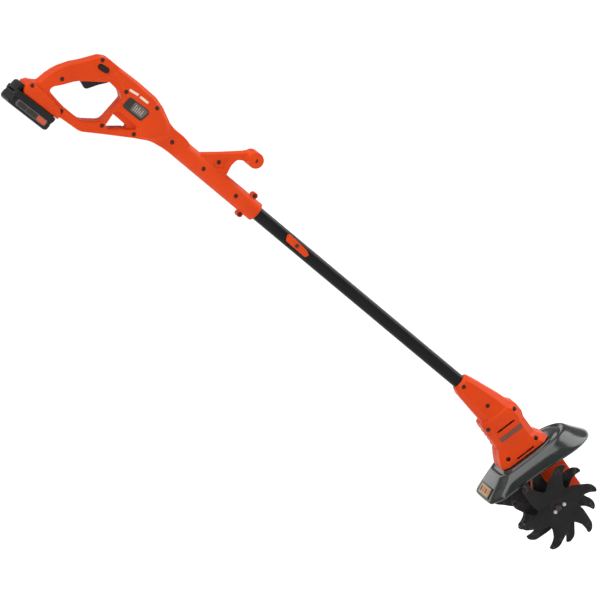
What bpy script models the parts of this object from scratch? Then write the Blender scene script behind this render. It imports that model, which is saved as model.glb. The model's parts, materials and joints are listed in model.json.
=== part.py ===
"""Cordless garden tiller: a battery grip, a tube shaft, and a geared motor head with four tine wheels.

The frame: +Z up along the motor's axis in the working attitude, +X forward, away from the user,
and the origin at the middle of the rear grip, on the plane where the two handle shells meet.
Numbers are millimetres. Outlines lie in the XZ plane and are extruded along Y.
"""

import math

import bmesh
import bpy
from mathutils import Matrix, Vector

MM = 0.001
GAP = 0.3
WALL = 2.8
ARC_STEP = math.radians(22)

# Shaft: its own frame is turned about Y, with z running up the tube and x forward.
SHAFT_TILT = math.radians(-13.92)
TUBE_X = 22.0
TUBE_RADIUS = 12.0
TUBE_WALL = 1.4
TUBE_TOP = -345.0
TUBE_JOINT = -509.0
TUBE_BOTTOM = -930.0
COUPLER_HALF = 55.0
NECK_RADIUS = 17.4
NECK_END = -418.0
EAR_STATION = -396.0
EAR_OFFSET = 20.0
EAR_RADIUS = 5.6

# Handle shells.
GRIP_HALF = 16.5
BODY_HALF = 21.0
REAR_HALF = 26.0
ARM_HALF = 11.0
KNOB_HALF = 20.0
KNOB_RADIUS = 14.0
KNOB = (171.5, -321.7)
SHELL_EDGE = 3.0

# Battery: its own frame is turned about Y, with z along the rails and x pointing at the handle.
BATTERY_TILT = math.radians(-15.8)
BATTERY_FACE = -74.0
BATTERY_BACK = -102.0
BATTERY_SPLIT = -84.0
BATTERY_LOW = -25.0
BATTERY_HIGH = 62.0
BATTERY_HALF = 32.0
FOOT_FACE = -73.5
RAIL_LOW = -24.0
RAIL_HIGH = 44.0
STEM_DEEP = 3.2
STEM_HALF = 14.0
FLANGE_DEEP = 5.6
FLANGE_HALF = 19.0

# Head.
MOTOR_X = 254.0
GUARD_TOP = -1031.5
GUARD_WALL = 3.0
AXLE = (242.2, -1122.0)
CRANK_X = MOTOR_X + 22.5
GEARBOX_HALF = 17.0

# Tine wheels.
TINE_RADIUS = 74.0
TINE_COUNT = 6
TINE_THICK = 4.0
INNER_WHEEL = 58.0
OUTER_WHEEL = 85.0
OUTER_PHASE = math.radians(46)
INNER_PHASE = math.radians(16)
LEFT_OUTER_PHASE = math.radians(38)
LEFT_INNER_PHASE = math.radians(32)

SCREW_HEAD = 3.5
HEAD_HIGH = 2.2
HEAD_SINK = 0.7
SCREW_SHANK = 1.5
RECESS = 3.9

COLOURS = {
    "shell_orange": ((0.80, 0.09, 0.02), 0.38, 0.0),
    "black_plastic": ((0.018, 0.018, 0.020), 0.45, 0.0),
    "grey_plastic": ((0.16, 0.16, 0.16), 0.5, 0.0),
    "guard_plastic": ((0.035, 0.045, 0.043), 0.25, 0.0),
    "tube_paint": ((0.02, 0.02, 0.021), 0.3, 0.2),
    "tine_steel": ((0.025, 0.024, 0.024), 0.45, 0.6),
    "screw_steel": ((0.05, 0.03, 0.03), 0.4, 0.9),
    "bare_steel": ((0.55, 0.55, 0.56), 0.3, 1.0),
    "copper": ((0.72, 0.30, 0.16), 0.35, 1.0),
    "label_plate": ((0.45, 0.45, 0.46), 0.4, 0.0),
    "cell_wrap": ((0.10, 0.25, 0.42), 0.4, 0.0),
    "cable_rubber": ((0.03, 0.03, 0.03), 0.6, 0.0),
    "circuit_green": ((0.02, 0.16, 0.07), 0.5, 0.0),
}


def clear_scene():
    for obj in list(bpy.data.objects):
        bpy.data.objects.remove(obj, do_unlink=True)


def new_collection(name, hidden=False):
    collection = bpy.data.collections.new(name)
    bpy.context.scene.collection.children.link(collection)
    collection.hide_render = hidden
    return collection


def make_materials():
    made = {}
    for name, (colour, roughness, metallic) in COLOURS.items():
        material = bpy.data.materials.new(name)
        material.use_nodes = True
        shader = material.node_tree.nodes["Principled BSDF"]
        shader.inputs["Base Color"].default_value = (*colour, 1.0)
        shader.inputs["Roughness"].default_value = roughness
        shader.inputs["Metallic"].default_value = metallic
        made[name] = material
    return made


clear_scene()
PARTS = new_collection("garden_tiller")
CUTTERS = new_collection("cutters", hidden=True)
MATERIALS = make_materials()


def add_mesh(name, shape, collection=CUTTERS):
    """A new object from a bmesh in millimetres, with its faces pointing out."""
    bmesh.ops.recalc_face_normals(shape, faces=shape.faces)
    bmesh.ops.scale(shape, vec=(MM, MM, MM), verts=shape.verts)
    mesh = bpy.data.meshes.new(name)
    shape.to_mesh(mesh)
    shape.free()
    obj = bpy.data.objects.new(name, mesh)
    collection.objects.link(obj)
    obj.display_type = "WIRE" if collection is CUTTERS else "TEXTURED"
    obj.hide_render = collection is CUTTERS
    return obj


def as_part(obj, material, pivot=None):
    """Makes a helper into a sub-part, with its origin on its joint's axis where it has one."""
    CUTTERS.objects.unlink(obj)
    PARTS.objects.link(obj)
    obj.hide_render = False
    obj.display_type = "TEXTURED"
    obj.data.materials.append(MATERIALS[material])
    obj.data.shade_smooth()
    obj.data.set_sharp_from_angle(angle=math.radians(32))
    if pivot is not None:
        move_origin(obj, pivot)
    return obj


def move_origin(obj, pivot):
    """Puts the object's origin at a world point in millimetres and leaves its shape where it is."""
    point = Vector(pivot) * MM
    obj.data.transform(obj.matrix_basis)
    obj.matrix_basis = Matrix.Identity(4)
    obj.data.transform(Matrix.Translation(-point))
    obj.location = point


def rounded(corners):
    """A closed outline from (x, z, radius) corners, each rounded with an arc of its radius."""
    outline = []
    count = len(corners)
    for index, (x, z, radius) in enumerate(corners):
        here = Vector((x, z))
        before = Vector(corners[index - 1][:2]) - here
        after = Vector(corners[(index + 1) % count][:2]) - here
        turn = math.pi - before.angle(after)
        if radius <= 0 or turn < 0.02:
            outline.append((x, z))
            continue
        reach = min(radius * math.tan(turn / 2), 0.48 * before.length, 0.48 * after.length)
        start = here + before.normalized() * reach
        end = here + after.normalized() * reach
        centre = here + (before.normalized() + after.normalized()).normalized() * (
            reach / math.tan(turn / 2) / math.cos(turn / 2)
        )
        steps = max(1, round(turn / ARC_STEP))
        for step in range(steps + 1):
            along = start.lerp(end, step / steps)
            outward = (along - centre).normalized()
            outline.append(tuple(centre + outward * (start - centre).length))
    return outline


def smaller(corners, factor):
    """The same corners, drawn towards their middle."""
    count = len(corners)
    middle_x, middle_z = (sum(corner[axis] for corner in corners) / count for axis in (0, 1))
    return [
        (middle_x + (x - middle_x) * factor, middle_z + (z - middle_z) * factor, radius)
        for x, z, radius in corners
    ]


def mesh_of_curve(name, curve):
    """A closed mesh object from a curve, with its caps welded on."""
    drawn = bpy.data.objects.new(name, curve)
    CUTTERS.objects.link(drawn)
    bpy.context.view_layer.update()
    mesh = bpy.data.meshes.new_from_object(drawn.evaluated_get(bpy.context.evaluated_depsgraph_get()))
    bpy.data.objects.remove(drawn)
    shape = bmesh.new()
    shape.from_mesh(mesh)
    bpy.data.meshes.remove(mesh)
    bmesh.ops.remove_doubles(shape, verts=shape.verts, dist=1e-6)
    bmesh.ops.scale(shape, vec=(1 / MM, 1 / MM, 1 / MM), verts=shape.verts)
    return add_mesh(name, shape)


def plate(name, outlines, half, edge=0.0, middle=0.0, segments=1):
    """Outlines in the XZ plane, the later ones holes, extruded to middle-half..middle+half in Y.
    Edge is the radius of its rounded rims."""
    curve = bpy.data.curves.new(name, "CURVE")
    curve.dimensions = "2D"
    curve.fill_mode = "BOTH"
    curve.extrude = (half - edge) * MM
    curve.bevel_depth = edge * MM
    curve.bevel_resolution = segments
    curve.offset = -edge * MM
    for outline in outlines:
        spline = curve.splines.new("POLY")
        spline.points.add(len(outline) - 1)
        for point, (x, z) in zip(spline.points, outline):
            point.co = (x * MM, z * MM, 0.0, 1.0)
        spline.use_cyclic_u = True
    drawn = mesh_of_curve(name, curve)
    upright = Matrix.Translation((0, middle * MM, 0)) @ Matrix.Rotation(math.pi / 2, 4, "X")
    drawn.data.transform(upright)
    return drawn


def box(name, low, high, edge=0.0, segments=2):
    """A box between two corners in millimetres, with its edges rounded by a radius."""
    shape = bmesh.new()
    bmesh.ops.create_cube(shape, size=1.0)
    size = Vector(high) - Vector(low)
    bmesh.ops.scale(shape, vec=size, verts=shape.verts)
    bmesh.ops.translate(shape, vec=(Vector(high) + Vector(low)) / 2, verts=shape.verts)
    if edge:
        bmesh.ops.bevel(shape, geom=shape.edges, offset=edge, segments=segments, profile=0.5, affect="EDGES")
    return add_mesh(name, shape)


def rod(name, radius, start, end, sides=24, end_radius=None):
    """A cylinder or cone between two points in millimetres."""
    start, end = Vector(start), Vector(end)
    shape = bmesh.new()
    top = radius if end_radius is None else end_radius
    length = (end - start).length
    bmesh.ops.create_cone(
        shape, cap_ends=True, segments=sides, radius1=radius, radius2=top, depth=length
    )
    turn = (end - start).to_track_quat("Z", "Y").to_matrix().to_4x4()
    bmesh.ops.transform(shape, matrix=Matrix.Translation((start + end) / 2) @ turn, verts=shape.verts)
    return add_mesh(name, shape)


def turned(name, profile, centre, steps=32):
    """A solid turned about a vertical axis from (radius, z) points, listed from top to bottom."""
    shape = bmesh.new()
    points = [shape.verts.new((radius, 0, z)) for radius, z in profile]
    for first, second in zip(points, points[1:]):
        shape.edges.new((first, second))
    obj = add_mesh(name, shape)
    obj.location = Vector((*centre, 0)) * MM
    screw = obj.modifiers.new("turn", "SCREW")
    screw.steps = steps
    screw.render_steps = steps
    screw.use_merge_vertices = True
    screw.merge_threshold = 1e-6
    screw.use_smooth_shade = False
    return baked(obj)


def loft(name, sections):
    """A closed solid through sections that all have the same number of points."""
    shape = bmesh.new()
    rings = [[shape.verts.new(point) for point in section] for section in sections]
    count = len(rings[0])
    for lower, upper in zip(rings, rings[1:]):
        for index in range(count):
            after = (index + 1) % count
            shape.faces.new((lower[index], lower[after], upper[after], upper[index]))
    shape.faces.new(rings[0])
    shape.faces.new(rings[-1])
    return add_mesh(name, shape)


def combine(obj, other, operation):
    modifier = obj.modifiers.new(operation.lower(), "BOOLEAN")
    modifier.operation = operation
    modifier.solver = "EXACT"
    modifier.object = other
    return obj


def join(obj, *others):
    for other in others:
        combine(obj, other, "UNION")
    return obj


def cut(obj, *others):
    for other in others:
        combine(obj, other, "DIFFERENCE")
    return obj


def baked(obj):
    """The same object with its modifiers made part of its mesh, and its close points welded.
    Flat neighbours are merged too, where the solid stays closed."""
    bpy.context.view_layer.update()
    mesh = bpy.data.meshes.new_from_object(obj.evaluated_get(bpy.context.evaluated_depsgraph_get()))
    obj.modifiers.clear()
    shape = bmesh.new()
    shape.from_mesh(mesh)
    bmesh.ops.remove_doubles(shape, verts=shape.verts, dist=1e-6)
    shape.to_mesh(mesh)
    bmesh.ops.dissolve_degenerate(shape, edges=shape.edges, dist=1e-6)
    bmesh.ops.dissolve_limit(
        shape, angle_limit=math.radians(0.2), verts=shape.verts, edges=shape.edges
    )
    if all(edge.is_manifold for edge in shape.edges):
        shape.to_mesh(mesh)
    shape.free()
    mesh.name = obj.name
    obj.data = mesh
    return obj


def copy_of(obj, name):
    twin = bpy.data.objects.new(name, obj.data.copy())
    twin.matrix_basis = obj.matrix_basis.copy()
    CUTTERS.objects.link(twin)
    twin.display_type = "WIRE"
    twin.hide_render = True
    return twin


def tilt(obj, angle):
    """Turns a piece made in the shaft's or the battery's frame into the tiller's."""
    obj.data.transform(Matrix.Rotation(angle, 4, "Y"))
    return obj


def in_frame(angle, x, z):
    """The tiller's (x, z) of a point given in a frame turned about Y."""
    return (x * math.cos(angle) + z * math.sin(angle), -x * math.sin(angle) + z * math.cos(angle))


def half_space(name, side):
    """The room on one side of the middle plane: side is -1 for the right and 1 for the left."""
    near, far = sorted((side * GAP / 2, side * 200))
    return box(name, (-200, near, -1200), (500, far, 200))


RIGHT_ROOM = half_space("right_room", -1)
LEFT_ROOM = half_space("left_room", 1)


def split(whole, right_name, left_name):
    """Cuts a solid into its right and left shells, with a hairline gap between them."""
    left = copy_of(whole, left_name)
    whole.name = right_name
    halves = []
    for shell, room in ((whole, RIGHT_ROOM), (left, LEFT_ROOM)):
        combine(shell, room, "INTERSECT")
        halves.append(baked(shell))
    return halves


# ------------------------------------------------------------------ handle

LOOP_OUTLINE = [
    (-84, 24, 4), (-76, 32, 4), (-69, 34, 5), (-60, 30, 5), (-50, 20, 8), (-25, 21.5, 60),
    (3.5, 16.5, 70), (28.5, 3.5, 70), (60, -9.5, 9), (69, -20, 6), (76.3, -48.8, 30),
    (87.3, -86.4, 30), (96.4, -127, 22), (95.6, -149, 24), (89, -184, 30), (97, -215, 40),
    (97, -232, 4), (64, -232, 4), (54.5, -204, 30), (45, -182, 30), (24.5, -159.5, 40),
    (-12, -123, 40), (-43, -93, 16), (-50, -72, 30), (-57, -51, 6), (-64, -49, 4), (-66.5, -38.8, 4),
]  # fmt: skip
GRIP_OPENING = [
    (-45, -2, 9), (-36, -0.5, 10), (-19, -9, 30), (-3, -15.5, 20), (5, -20, 4), (48, -56, 8),
    (51.5, -80, 6), (47, -92, 6), (-2, -102.5, 14), (-31, -78.5, 20), (-41.5, -38, 40),
]  # fmt: skip
FRAME_WINDOW = [(20.5, -103.5, 3), (-2, -111.5, 3), (-1, -119, 3), (24.5, -138.5, 3), (28, -136, 3)]
BODY_OUTLINE = [
    (60, -46, 6), (73, -44, 8), (84.5, -86, 30), (93, -128, 18), (92, -148, 20), (86, -182, 30),
    (70, -196, 12), (50, -184, 20), (31, -161, 20), (43, -148, 8), (41, -104, 8), (53, -92, 8),
]  # fmt: skip
REAR_OUTLINE = [
    (-84, 24, 4), (-76, 32, 4), (-69, 34, 4), (-61, 29, 4), (-54, 6, 20), (-50.5, -20, 20),
    (-49, -40, 5), (-58, -48.5, 4), (-64, -49, 4), (-66.5, -38.8, 4),
]  # fmt: skip
ARM_OUTLINE = [
    (96, -253, 0), (104, -256.5, 3), (129, -275.5, 0), (163, -299.5, 12), (176, -309, 8),
    (176, -326, 8), (160, -330, 5), (156.5, -313, 8), (147, -303.5, 8), (134, -305.5, 8),
    (119, -313, 4), (106, -320, 0),
]  # fmt: skip
POCKET_OUTLINE = [(19, -101.5, 2), (30, -104, 3), (40, -144, 3), (37.5, -150, 2), (23, -140, 2)]
WEB_OUTLINE = [(114, -277, 2), (137, -291, 2), (121, -301, 2), (107, -288, 2)]
LABEL_OUTLINE = [
    (60.5, -95, 4), (72.5, -134, 4), (70, -140.5, 3), (50, -141.5, 4), (39.8, -103, 4), (43, -98, 3),
]  # fmt: skip
LABEL_FIT = 0.98

GRIP_ROOM = [
    (-70, 26, 3), (-62, 24, 3), (-50, 15.5, 8), (-25, 16.5, 60), (3, 11.5, 60), (27, -1.5, 60),
    (57, -15, 6), (64.5, -24, 4), (71.5, -50, 20), (82, -88, 30), (90.5, -128, 18), (89.5, -148, 20),
    (83, -180, 20), (74, -190, 6), (55, -180, 6), (40, -160, 6), (47, -148, 4), (47, -104, 4),
    (57, -92, 4), (56.5, -56, 4), (46, -44, 6), (5, -13, 6), (-5, -9, 20), (-20, -3, 20),
    (-36, 5, 20), (-50, 5, 6), (-58, 0, 4),
]  # fmt: skip
REAR_ROOM = [
    (-76.5, 22, 3), (-72, 26, 3), (-64, 25, 3), (-57.5, 6, 10), (-54.5, -20, 10), (-54, -40, 4),
    (-61, -42, 3),
]  # fmt: skip

HANDLE_SCREWS = [
    # x, z, half width of the shell there
    (-64.0, 26.5, 26.0), (-15.7, 1.0, GRIP_HALF), (-48.5, -43.5, GRIP_HALF), (58.8, -15.5, GRIP_HALF),
    (60.0, -84.5, BODY_HALF), (86.5, -140.5, BODY_HALF), (-6.5, -107.5, GRIP_HALF),
    (28.8, -154.0, GRIP_HALF), (74.0, -206.0, NECK_RADIUS), (91.0, -277.7, NECK_RADIUS),
    (119.5, -287.5, 8.5), (109.2, -351.0, NECK_RADIUS), (*KNOB, KNOB_HALF),
]  # fmt: skip
EAR_SCREWS = [
    (*in_frame(SHAFT_TILT, TUBE_X + EAR_OFFSET, EAR_STATION), 8.5),
    (*in_frame(SHAFT_TILT, TUBE_X - EAR_OFFSET, EAR_STATION), 8.5),
]

BUTTON_CENTRE = (52.0, -28.5)
BUTTON_LEAN = math.radians(21)
BUTTON_LONG = 10.5
BUTTON_WIDE = 4.2
BUTTON_HALF = 19.0

TRIGGER_PIVOT = (46.5, -51.5)
TRIGGER_OUTLINE = [
    (8.5, -24.5, 2), (7, -40, 2), (10.5, -43, 2), (30, -49.5, 30), (45, -56.5, 4), (50.5, -53.5, 3),
    (49.5, -47.5, 3), (42, -45, 6), (14, -23.5, 3),
]  # fmt: skip
TRIGGER_SLOT = [
    (4.5, -17.5, 0), (5.5, -46, 0), (45, -62, 0), (53.5, -60, 0), (53.5, -43, 0), (46, -40, 0), (18, -15, 0),
]  # fmt: skip
TRIGGER_HALF = 6.0

# The handle screw that also pins the tube.
TUBE_SCREW = 11
NECK_TOP = -205.0
CABLE_RADIUS = 2.6
CABLE_X = TUBE_X + 5.6
CABLE_START = -180.0
BORE_START = -340.0
SWITCH_LOW, SWITCH_HIGH = (12, -7, -15), (34, 7, -4.5)
MODULE_LOW, MODULE_HIGH = (62, -9, -132), (80, 9, -98)


def oval(centre, long_half, wide_half, lean, grow=0.0):
    """The outline of a slot with round ends, its long side leaning forward from vertical."""
    reach = long_half - wide_half
    radius = wide_half + grow
    outline = []
    for end, first in ((1, 0), (-1, math.pi)):
        for step in range(7):
            angle = first + math.pi * step / 6
            across, along = radius * math.cos(angle), radius * math.sin(angle) + end * reach
            x = across * math.cos(lean) - along * math.sin(lean)
            z = across * math.sin(lean) + along * math.cos(lean)
            outline.append((centre[0] + x, centre[1] + z))
    return outline


def shaft_rod(name, radius, start, end, sides=32, x=TUBE_X, y=0.0):
    """A rod along the shaft, between two stations of the shaft's own frame."""
    return tilt(rod(name, radius, (x, y, end), (x, y, start), sides), SHAFT_TILT)


def handle_outside():
    loop = plate("handle_loop", [rounded(LOOP_OUTLINE), rounded(GRIP_OPENING), rounded(FRAME_WINDOW)],
                 GRIP_HALF, SHELL_EDGE)  # fmt: skip
    join(loop, plate("handle_body", [rounded(BODY_OUTLINE)], BODY_HALF, 5.0))
    join(loop, plate("handle_rear", [rounded(REAR_OUTLINE)], REAR_HALF, 3.0))
    beyond_foot = box("beyond_foot", (FOOT_FACE - 20, -40, -45), (FOOT_FACE, 40, 60))
    cut(loop, tilt(beyond_foot, BATTERY_TILT))
    join(loop, shaft_rod("handle_neck", NECK_RADIUS, NECK_TOP, NECK_END, 40))
    join(loop, plate("handle_arm", [rounded(ARM_OUTLINE)], ARM_HALF, 3.0))
    knob_x, knob_z = KNOB
    join(loop, rod("handle_knob", KNOB_RADIUS, (knob_x, -KNOB_HALF, knob_z), (knob_x, KNOB_HALF, knob_z), 28))
    for index, (x, z, half) in enumerate(EAR_SCREWS):
        join(loop, rod(f"handle_ear_{index}", EAR_RADIUS, (x, -half, z), (x, half, z), 20))
    stem_low = (FOOT_FACE - STEM_DEEP, -STEM_HALF, RAIL_LOW)
    stem = box("rail_stem", stem_low, (FOOT_FACE + 2, STEM_HALF, RAIL_HIGH))
    flange_low = (FOOT_FACE - FLANGE_DEEP, -FLANGE_HALF, RAIL_LOW)
    flange = box("rail_flange", flange_low, (FOOT_FACE - STEM_DEEP + 0.2, FLANGE_HALF, RAIL_HIGH))
    join(loop, tilt(stem, BATTERY_TILT), tilt(flange, BATTERY_TILT))
    return baked(loop)


def handle_rooms():
    grip = plate("grip_room", [rounded(GRIP_ROOM)], GRIP_HALF - WALL)
    body_part = [corner for corner in GRIP_ROOM if corner[1] < -80 and corner[0] > 38]
    join(grip, plate("body_room", [rounded(body_part)], BODY_HALF - WALL))
    join(grip, plate("rear_room", [rounded(REAR_ROOM)], REAR_HALF - WALL))
    join(grip, shaft_rod("neck_room", 8.0, NECK_TOP + 22, BORE_START - 2, 24))
    return baked(grip)


def screw_seats(screws, name, boss_radius=4.6):
    """For a list of screws: the bosses that hold them, and the holes and recesses to be cut."""
    bosses, holes = [], []
    for index, (x, z, half) in enumerate(screws):
        bosses.append(rod(f"{name}_boss_{index}", boss_radius, (x, 1.5 - half, z), (x, half - 1.5, z), 10))
        holes.append(rod(f"{name}_hole_{index}", SCREW_SHANK + GAP, (x, -half, z), (x, half - 5, z), 8))
        holes.append(rod(f"{name}_recess_{index}", RECESS, (x, -half - 5, z), (x, -half + 3.2, z), 14))
    return bosses, holes


def make_screws(screws, name):
    """Pan-head screws that go in from the right and end in the left shell."""
    for index, (x, z, half) in enumerate(screws):
        head_top = -half + HEAD_SINK
        head_base = head_top + HEAD_HIGH
        screw = f"{name}_{index + 1:02d}"
        head = rod(screw, SCREW_HEAD - 0.5, (x, head_top, z), (x, head_base, z), 12, SCREW_HEAD)
        join(head, rod(f"{name}_shank_{index}", SCREW_SHANK, (x, head_top + 1, z), (x, half - 6, z), 6))
        as_part(baked(head), "screw_steel")


def make_handle():
    solid = handle_outside()
    bosses, holes = screw_seats(HANDLE_SCREWS + EAR_SCREWS, "handle")
    cut(solid, handle_rooms())
    join(solid, *bosses)
    cut(solid, *holes)
    cut(solid, shaft_rod("cable_channel", CABLE_RADIUS + 0.5, CABLE_START, BORE_START - 3, 12, CABLE_X))
    cut(solid, shaft_rod("tube_bore", TUBE_RADIUS + GAP, BORE_START, NECK_END - 5, 32))
    cut(solid, plate("trigger_slot", [rounded(TRIGGER_SLOT)], TRIGGER_HALF + 0.6))
    cut(solid, plate("button_hole", [oval(BUTTON_CENTRE, BUTTON_LONG, BUTTON_WIDE, BUTTON_LEAN, 0.4)], 40))
    outward = BODY_HALF - 1.2
    cut(solid, plate("label_seat", [rounded(LABEL_OUTLINE)], 5, middle=-outward - 5))
    for side in (-1, 1):
        cut(solid, plate(f"pocket_{side}", [rounded(POCKET_OUTLINE)], 20, middle=side * (9 + 20)))
        cut(solid, plate(f"web_{side}", [rounded(WEB_OUTLINE)], 10, middle=side * (8.5 + 10)))
    opening = box("terminal_opening", (FOOT_FACE - 8, -11.5, -6), (FOOT_FACE + 8, 11.5, 30))
    cut(solid, tilt(opening, BATTERY_TILT))
    baked(solid)
    for shell in split(solid, "handle_shell_right", "handle_shell_left"):
        as_part(shell, "shell_orange")
    make_screws(HANDLE_SCREWS + EAR_SCREWS, "handle_screw")


def make_controls():
    trigger = plate("trigger", [rounded(TRIGGER_OUTLINE)], TRIGGER_HALF, 1.2)
    as_part(trigger, "black_plastic", (TRIGGER_PIVOT[0], 0, TRIGGER_PIVOT[1]))
    button = plate("lock_off_button", [oval(BUTTON_CENTRE, BUTTON_LONG, BUTTON_WIDE, BUTTON_LEAN)],
                   BUTTON_HALF, 1.0)  # fmt: skip
    as_part(button, "black_plastic", (BUTTON_CENTRE[0], 0, BUTTON_CENTRE[1]))
    as_part(box("trigger_switch", SWITCH_LOW, SWITCH_HIGH, 1.0, 1), "grey_plastic")
    as_part(box("control_module", MODULE_LOW, MODULE_HIGH, 1.0, 1), "circuit_green")
    label = plate("rating_label", [rounded(smaller(LABEL_OUTLINE, LABEL_FIT))], 0.5, middle=-BODY_HALF + 0.45)
    as_part(label, "label_plate")
    terminals = box("terminal_block", (FOOT_FACE + 0.6, -10.5, -4), (FOOT_FACE + 12, 10.5, 28), 1.0, 1)
    as_part(tilt(terminals, BATTERY_TILT), "black_plastic")


# ----------------------------------------------------------------- battery

RAIL_GAP = 0.6
CASE_WALL = 3.0
LATCH_LOW, LATCH_HIGH = 53.0, 60.5
LATCH_FRONT = -60.5
LATCH_HALF = 20.0


def make_battery():
    cover = box("battery_cover", (BATTERY_SPLIT + GAP, -BATTERY_HALF, BATTERY_LOW),
                (BATTERY_FACE, BATTERY_HALF, BATTERY_HIGH - 1), 2.0)  # fmt: skip
    stem = box("cover_stem_slot", (BATTERY_FACE - STEM_DEEP, -STEM_HALF - RAIL_GAP, BATTERY_LOW - 5),
               (BATTERY_FACE + 5, STEM_HALF + RAIL_GAP, RAIL_HIGH + 2))  # fmt: skip
    flange_low = (BATTERY_FACE - FLANGE_DEEP - RAIL_GAP, -FLANGE_HALF - RAIL_GAP, BATTERY_LOW - 5)
    flange = box("cover_flange_slot", flange_low, (BATTERY_FACE - 2.2, FLANGE_HALF + RAIL_GAP, RAIL_HIGH + 2))
    latch_seat = box("cover_latch_seat", (BATTERY_FACE - 7.5, -LATCH_HALF - 0.5, LATCH_LOW - 0.5),
                     (BATTERY_FACE + 5, LATCH_HALF + 0.5, LATCH_HIGH + 0.5))  # fmt: skip
    cut(cover, stem, flange, latch_seat)
    as_part(tilt(baked(cover), BATTERY_TILT), "black_plastic")

    case = box("battery_case", (BATTERY_BACK, -BATTERY_HALF, BATTERY_LOW),
               (BATTERY_SPLIT, BATTERY_HALF, BATTERY_HIGH), 6.0, 3)  # fmt: skip
    room = box("battery_room", (BATTERY_BACK + CASE_WALL, CASE_WALL - BATTERY_HALF, BATTERY_LOW + CASE_WALL),
               (BATTERY_SPLIT + 5, BATTERY_HALF - CASE_WALL, BATTERY_HIGH - CASE_WALL))  # fmt: skip
    seat = box("badge_seat", (BATTERY_BACK + 5, -BATTERY_HALF - 3, -16),
               (BATTERY_SPLIT - 2, 0.9 - BATTERY_HALF, 50))  # fmt: skip
    cut(case, room, seat)
    as_part(tilt(baked(case), BATTERY_TILT), "black_plastic")
    badge = box("battery_badge", (BATTERY_BACK + 5.3, 0.1 - BATTERY_HALF, -15.7),
                (BATTERY_SPLIT - 2.3, 0.75 - BATTERY_HALF, 49.7))  # fmt: skip
    as_part(tilt(badge, BATTERY_TILT), "label_plate")

    cells = box("battery_cells", (BATTERY_BACK + 3.6, -28, -18), (BATTERY_SPLIT - 1.0, 28, 56), 5.0, 3)
    as_part(tilt(cells, BATTERY_TILT), "cell_wrap")

    latch = box("battery_latch", (BATTERY_FACE - 3.6, -LATCH_HALF, LATCH_LOW),
                (LATCH_FRONT, LATCH_HALF, LATCH_HIGH), 2.5)  # fmt: skip
    as_part(tilt(latch, BATTERY_TILT), "black_plastic")


# ------------------------------------------------------------------- shaft

CLIP_OUTLINE = [
    (16.5, -533, 3), (23.5, -537, 3), (27.5, -528, 6), (30.5, -488, 5), (27, -483, 3), (17.5, -488, 5),
]  # fmt: skip
CLIP_SCREW = (22.8, -509.0)
CLIP_SEAT = -14.6


def tube(name, start, end, radius, wall):
    outer = shaft_rod(name, radius, start, end)
    return baked(cut(outer, shaft_rod(name + "_bore", radius - wall, start + 5, end - 5)))


def make_shaft():
    x, z = CLIP_SCREW
    hole = tilt(rod("clip_hole", 2.2, (x, -40, z), (x, 0, z), 12), SHAFT_TILT)
    upper = tube("upper_tube", TUBE_TOP, TUBE_JOINT + GAP / 2 + 12, TUBE_RADIUS, TUBE_WALL)
    lower = tube("lower_tube", TUBE_JOINT - GAP / 2 + 12, TUBE_BOTTOM, TUBE_RADIUS, TUBE_WALL)
    coupler_radius = TUBE_RADIUS - TUBE_WALL - GAP
    coupler = tube("tube_coupler", TUBE_JOINT + COUPLER_HALF, TUBE_JOINT - COUPLER_HALF, coupler_radius, 1.6)
    baked(cut(coupler, hole))
    cut(lower, hole)
    for piece, (pin_x, pin_z, half) in ((upper, HANDLE_SCREWS[TUBE_SCREW]), (lower, HOUSING_SCREWS[0])):
        near, far = (pin_x, -half, pin_z), (pin_x, half, pin_z)
        baked(cut(piece, rod(f"{piece.name}_pin_hole", SCREW_SHANK + GAP, near, far, 12)))
        as_part(piece, "tube_paint")
    as_part(coupler, "bare_steel")

    clip = plate("tube_clip", [rounded(CLIP_OUTLINE)], 4.5, 0.8, middle=-TUBE_RADIUS + 1.2)
    tilt(clip, SHAFT_TILT)
    cut(clip, shaft_rod("clip_seat", TUBE_RADIUS + GAP, -470, -550, 48))
    cut(clip, hole)
    cut(clip, tilt(rod("clip_recess", RECESS, (x, -30, z), (x, CLIP_SEAT, z), 16), SHAFT_TILT))
    as_part(baked(clip), "shell_orange")
    top, base = (x, CLIP_SEAT - 0.8, z), (x, CLIP_SEAT - 0.3, z)
    screw = rod("tube_clip_screw", SCREW_HEAD - 0.4, top, base, 16, SCREW_HEAD - 0.2)
    join(screw, rod("clip_screw_shank", SCREW_SHANK, (x, CLIP_SEAT - 0.6, z), (x, -5, z), 10))
    as_part(tilt(baked(screw), SHAFT_TILT), "screw_steel")


def make_cable():
    """The motor's cable, held inside the grip, the neck and the tube along its whole route."""
    route = [(66, 0, -137), (66, 0, -150)]
    for station in (CABLE_START - 2, -300, -400, -500, -600, -700, -800, -900, -935):
        x, z = in_frame(SHAFT_TILT, CABLE_X, station)
        route.append((x, 0, z))
    route.append((MOTOR_X + 8.5, 0, -924))
    route.append((MOTOR_X + 8.5, 0, -936))
    curve = bpy.data.curves.new("motor_cable", "CURVE")
    curve.dimensions = "3D"
    curve.bevel_depth = CABLE_RADIUS * MM
    curve.bevel_resolution = 1
    curve.use_fill_caps = True
    spline = curve.splines.new("POLY")
    spline.points.add(len(route) - 1)
    for point, place in zip(spline.points, route):
        point.co = (*(Vector(place) * MM), 1.0)
    as_part(mesh_of_curve("motor_cable", curve), "cable_rubber")


# -------------------------------------------------------------- motor head

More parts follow.
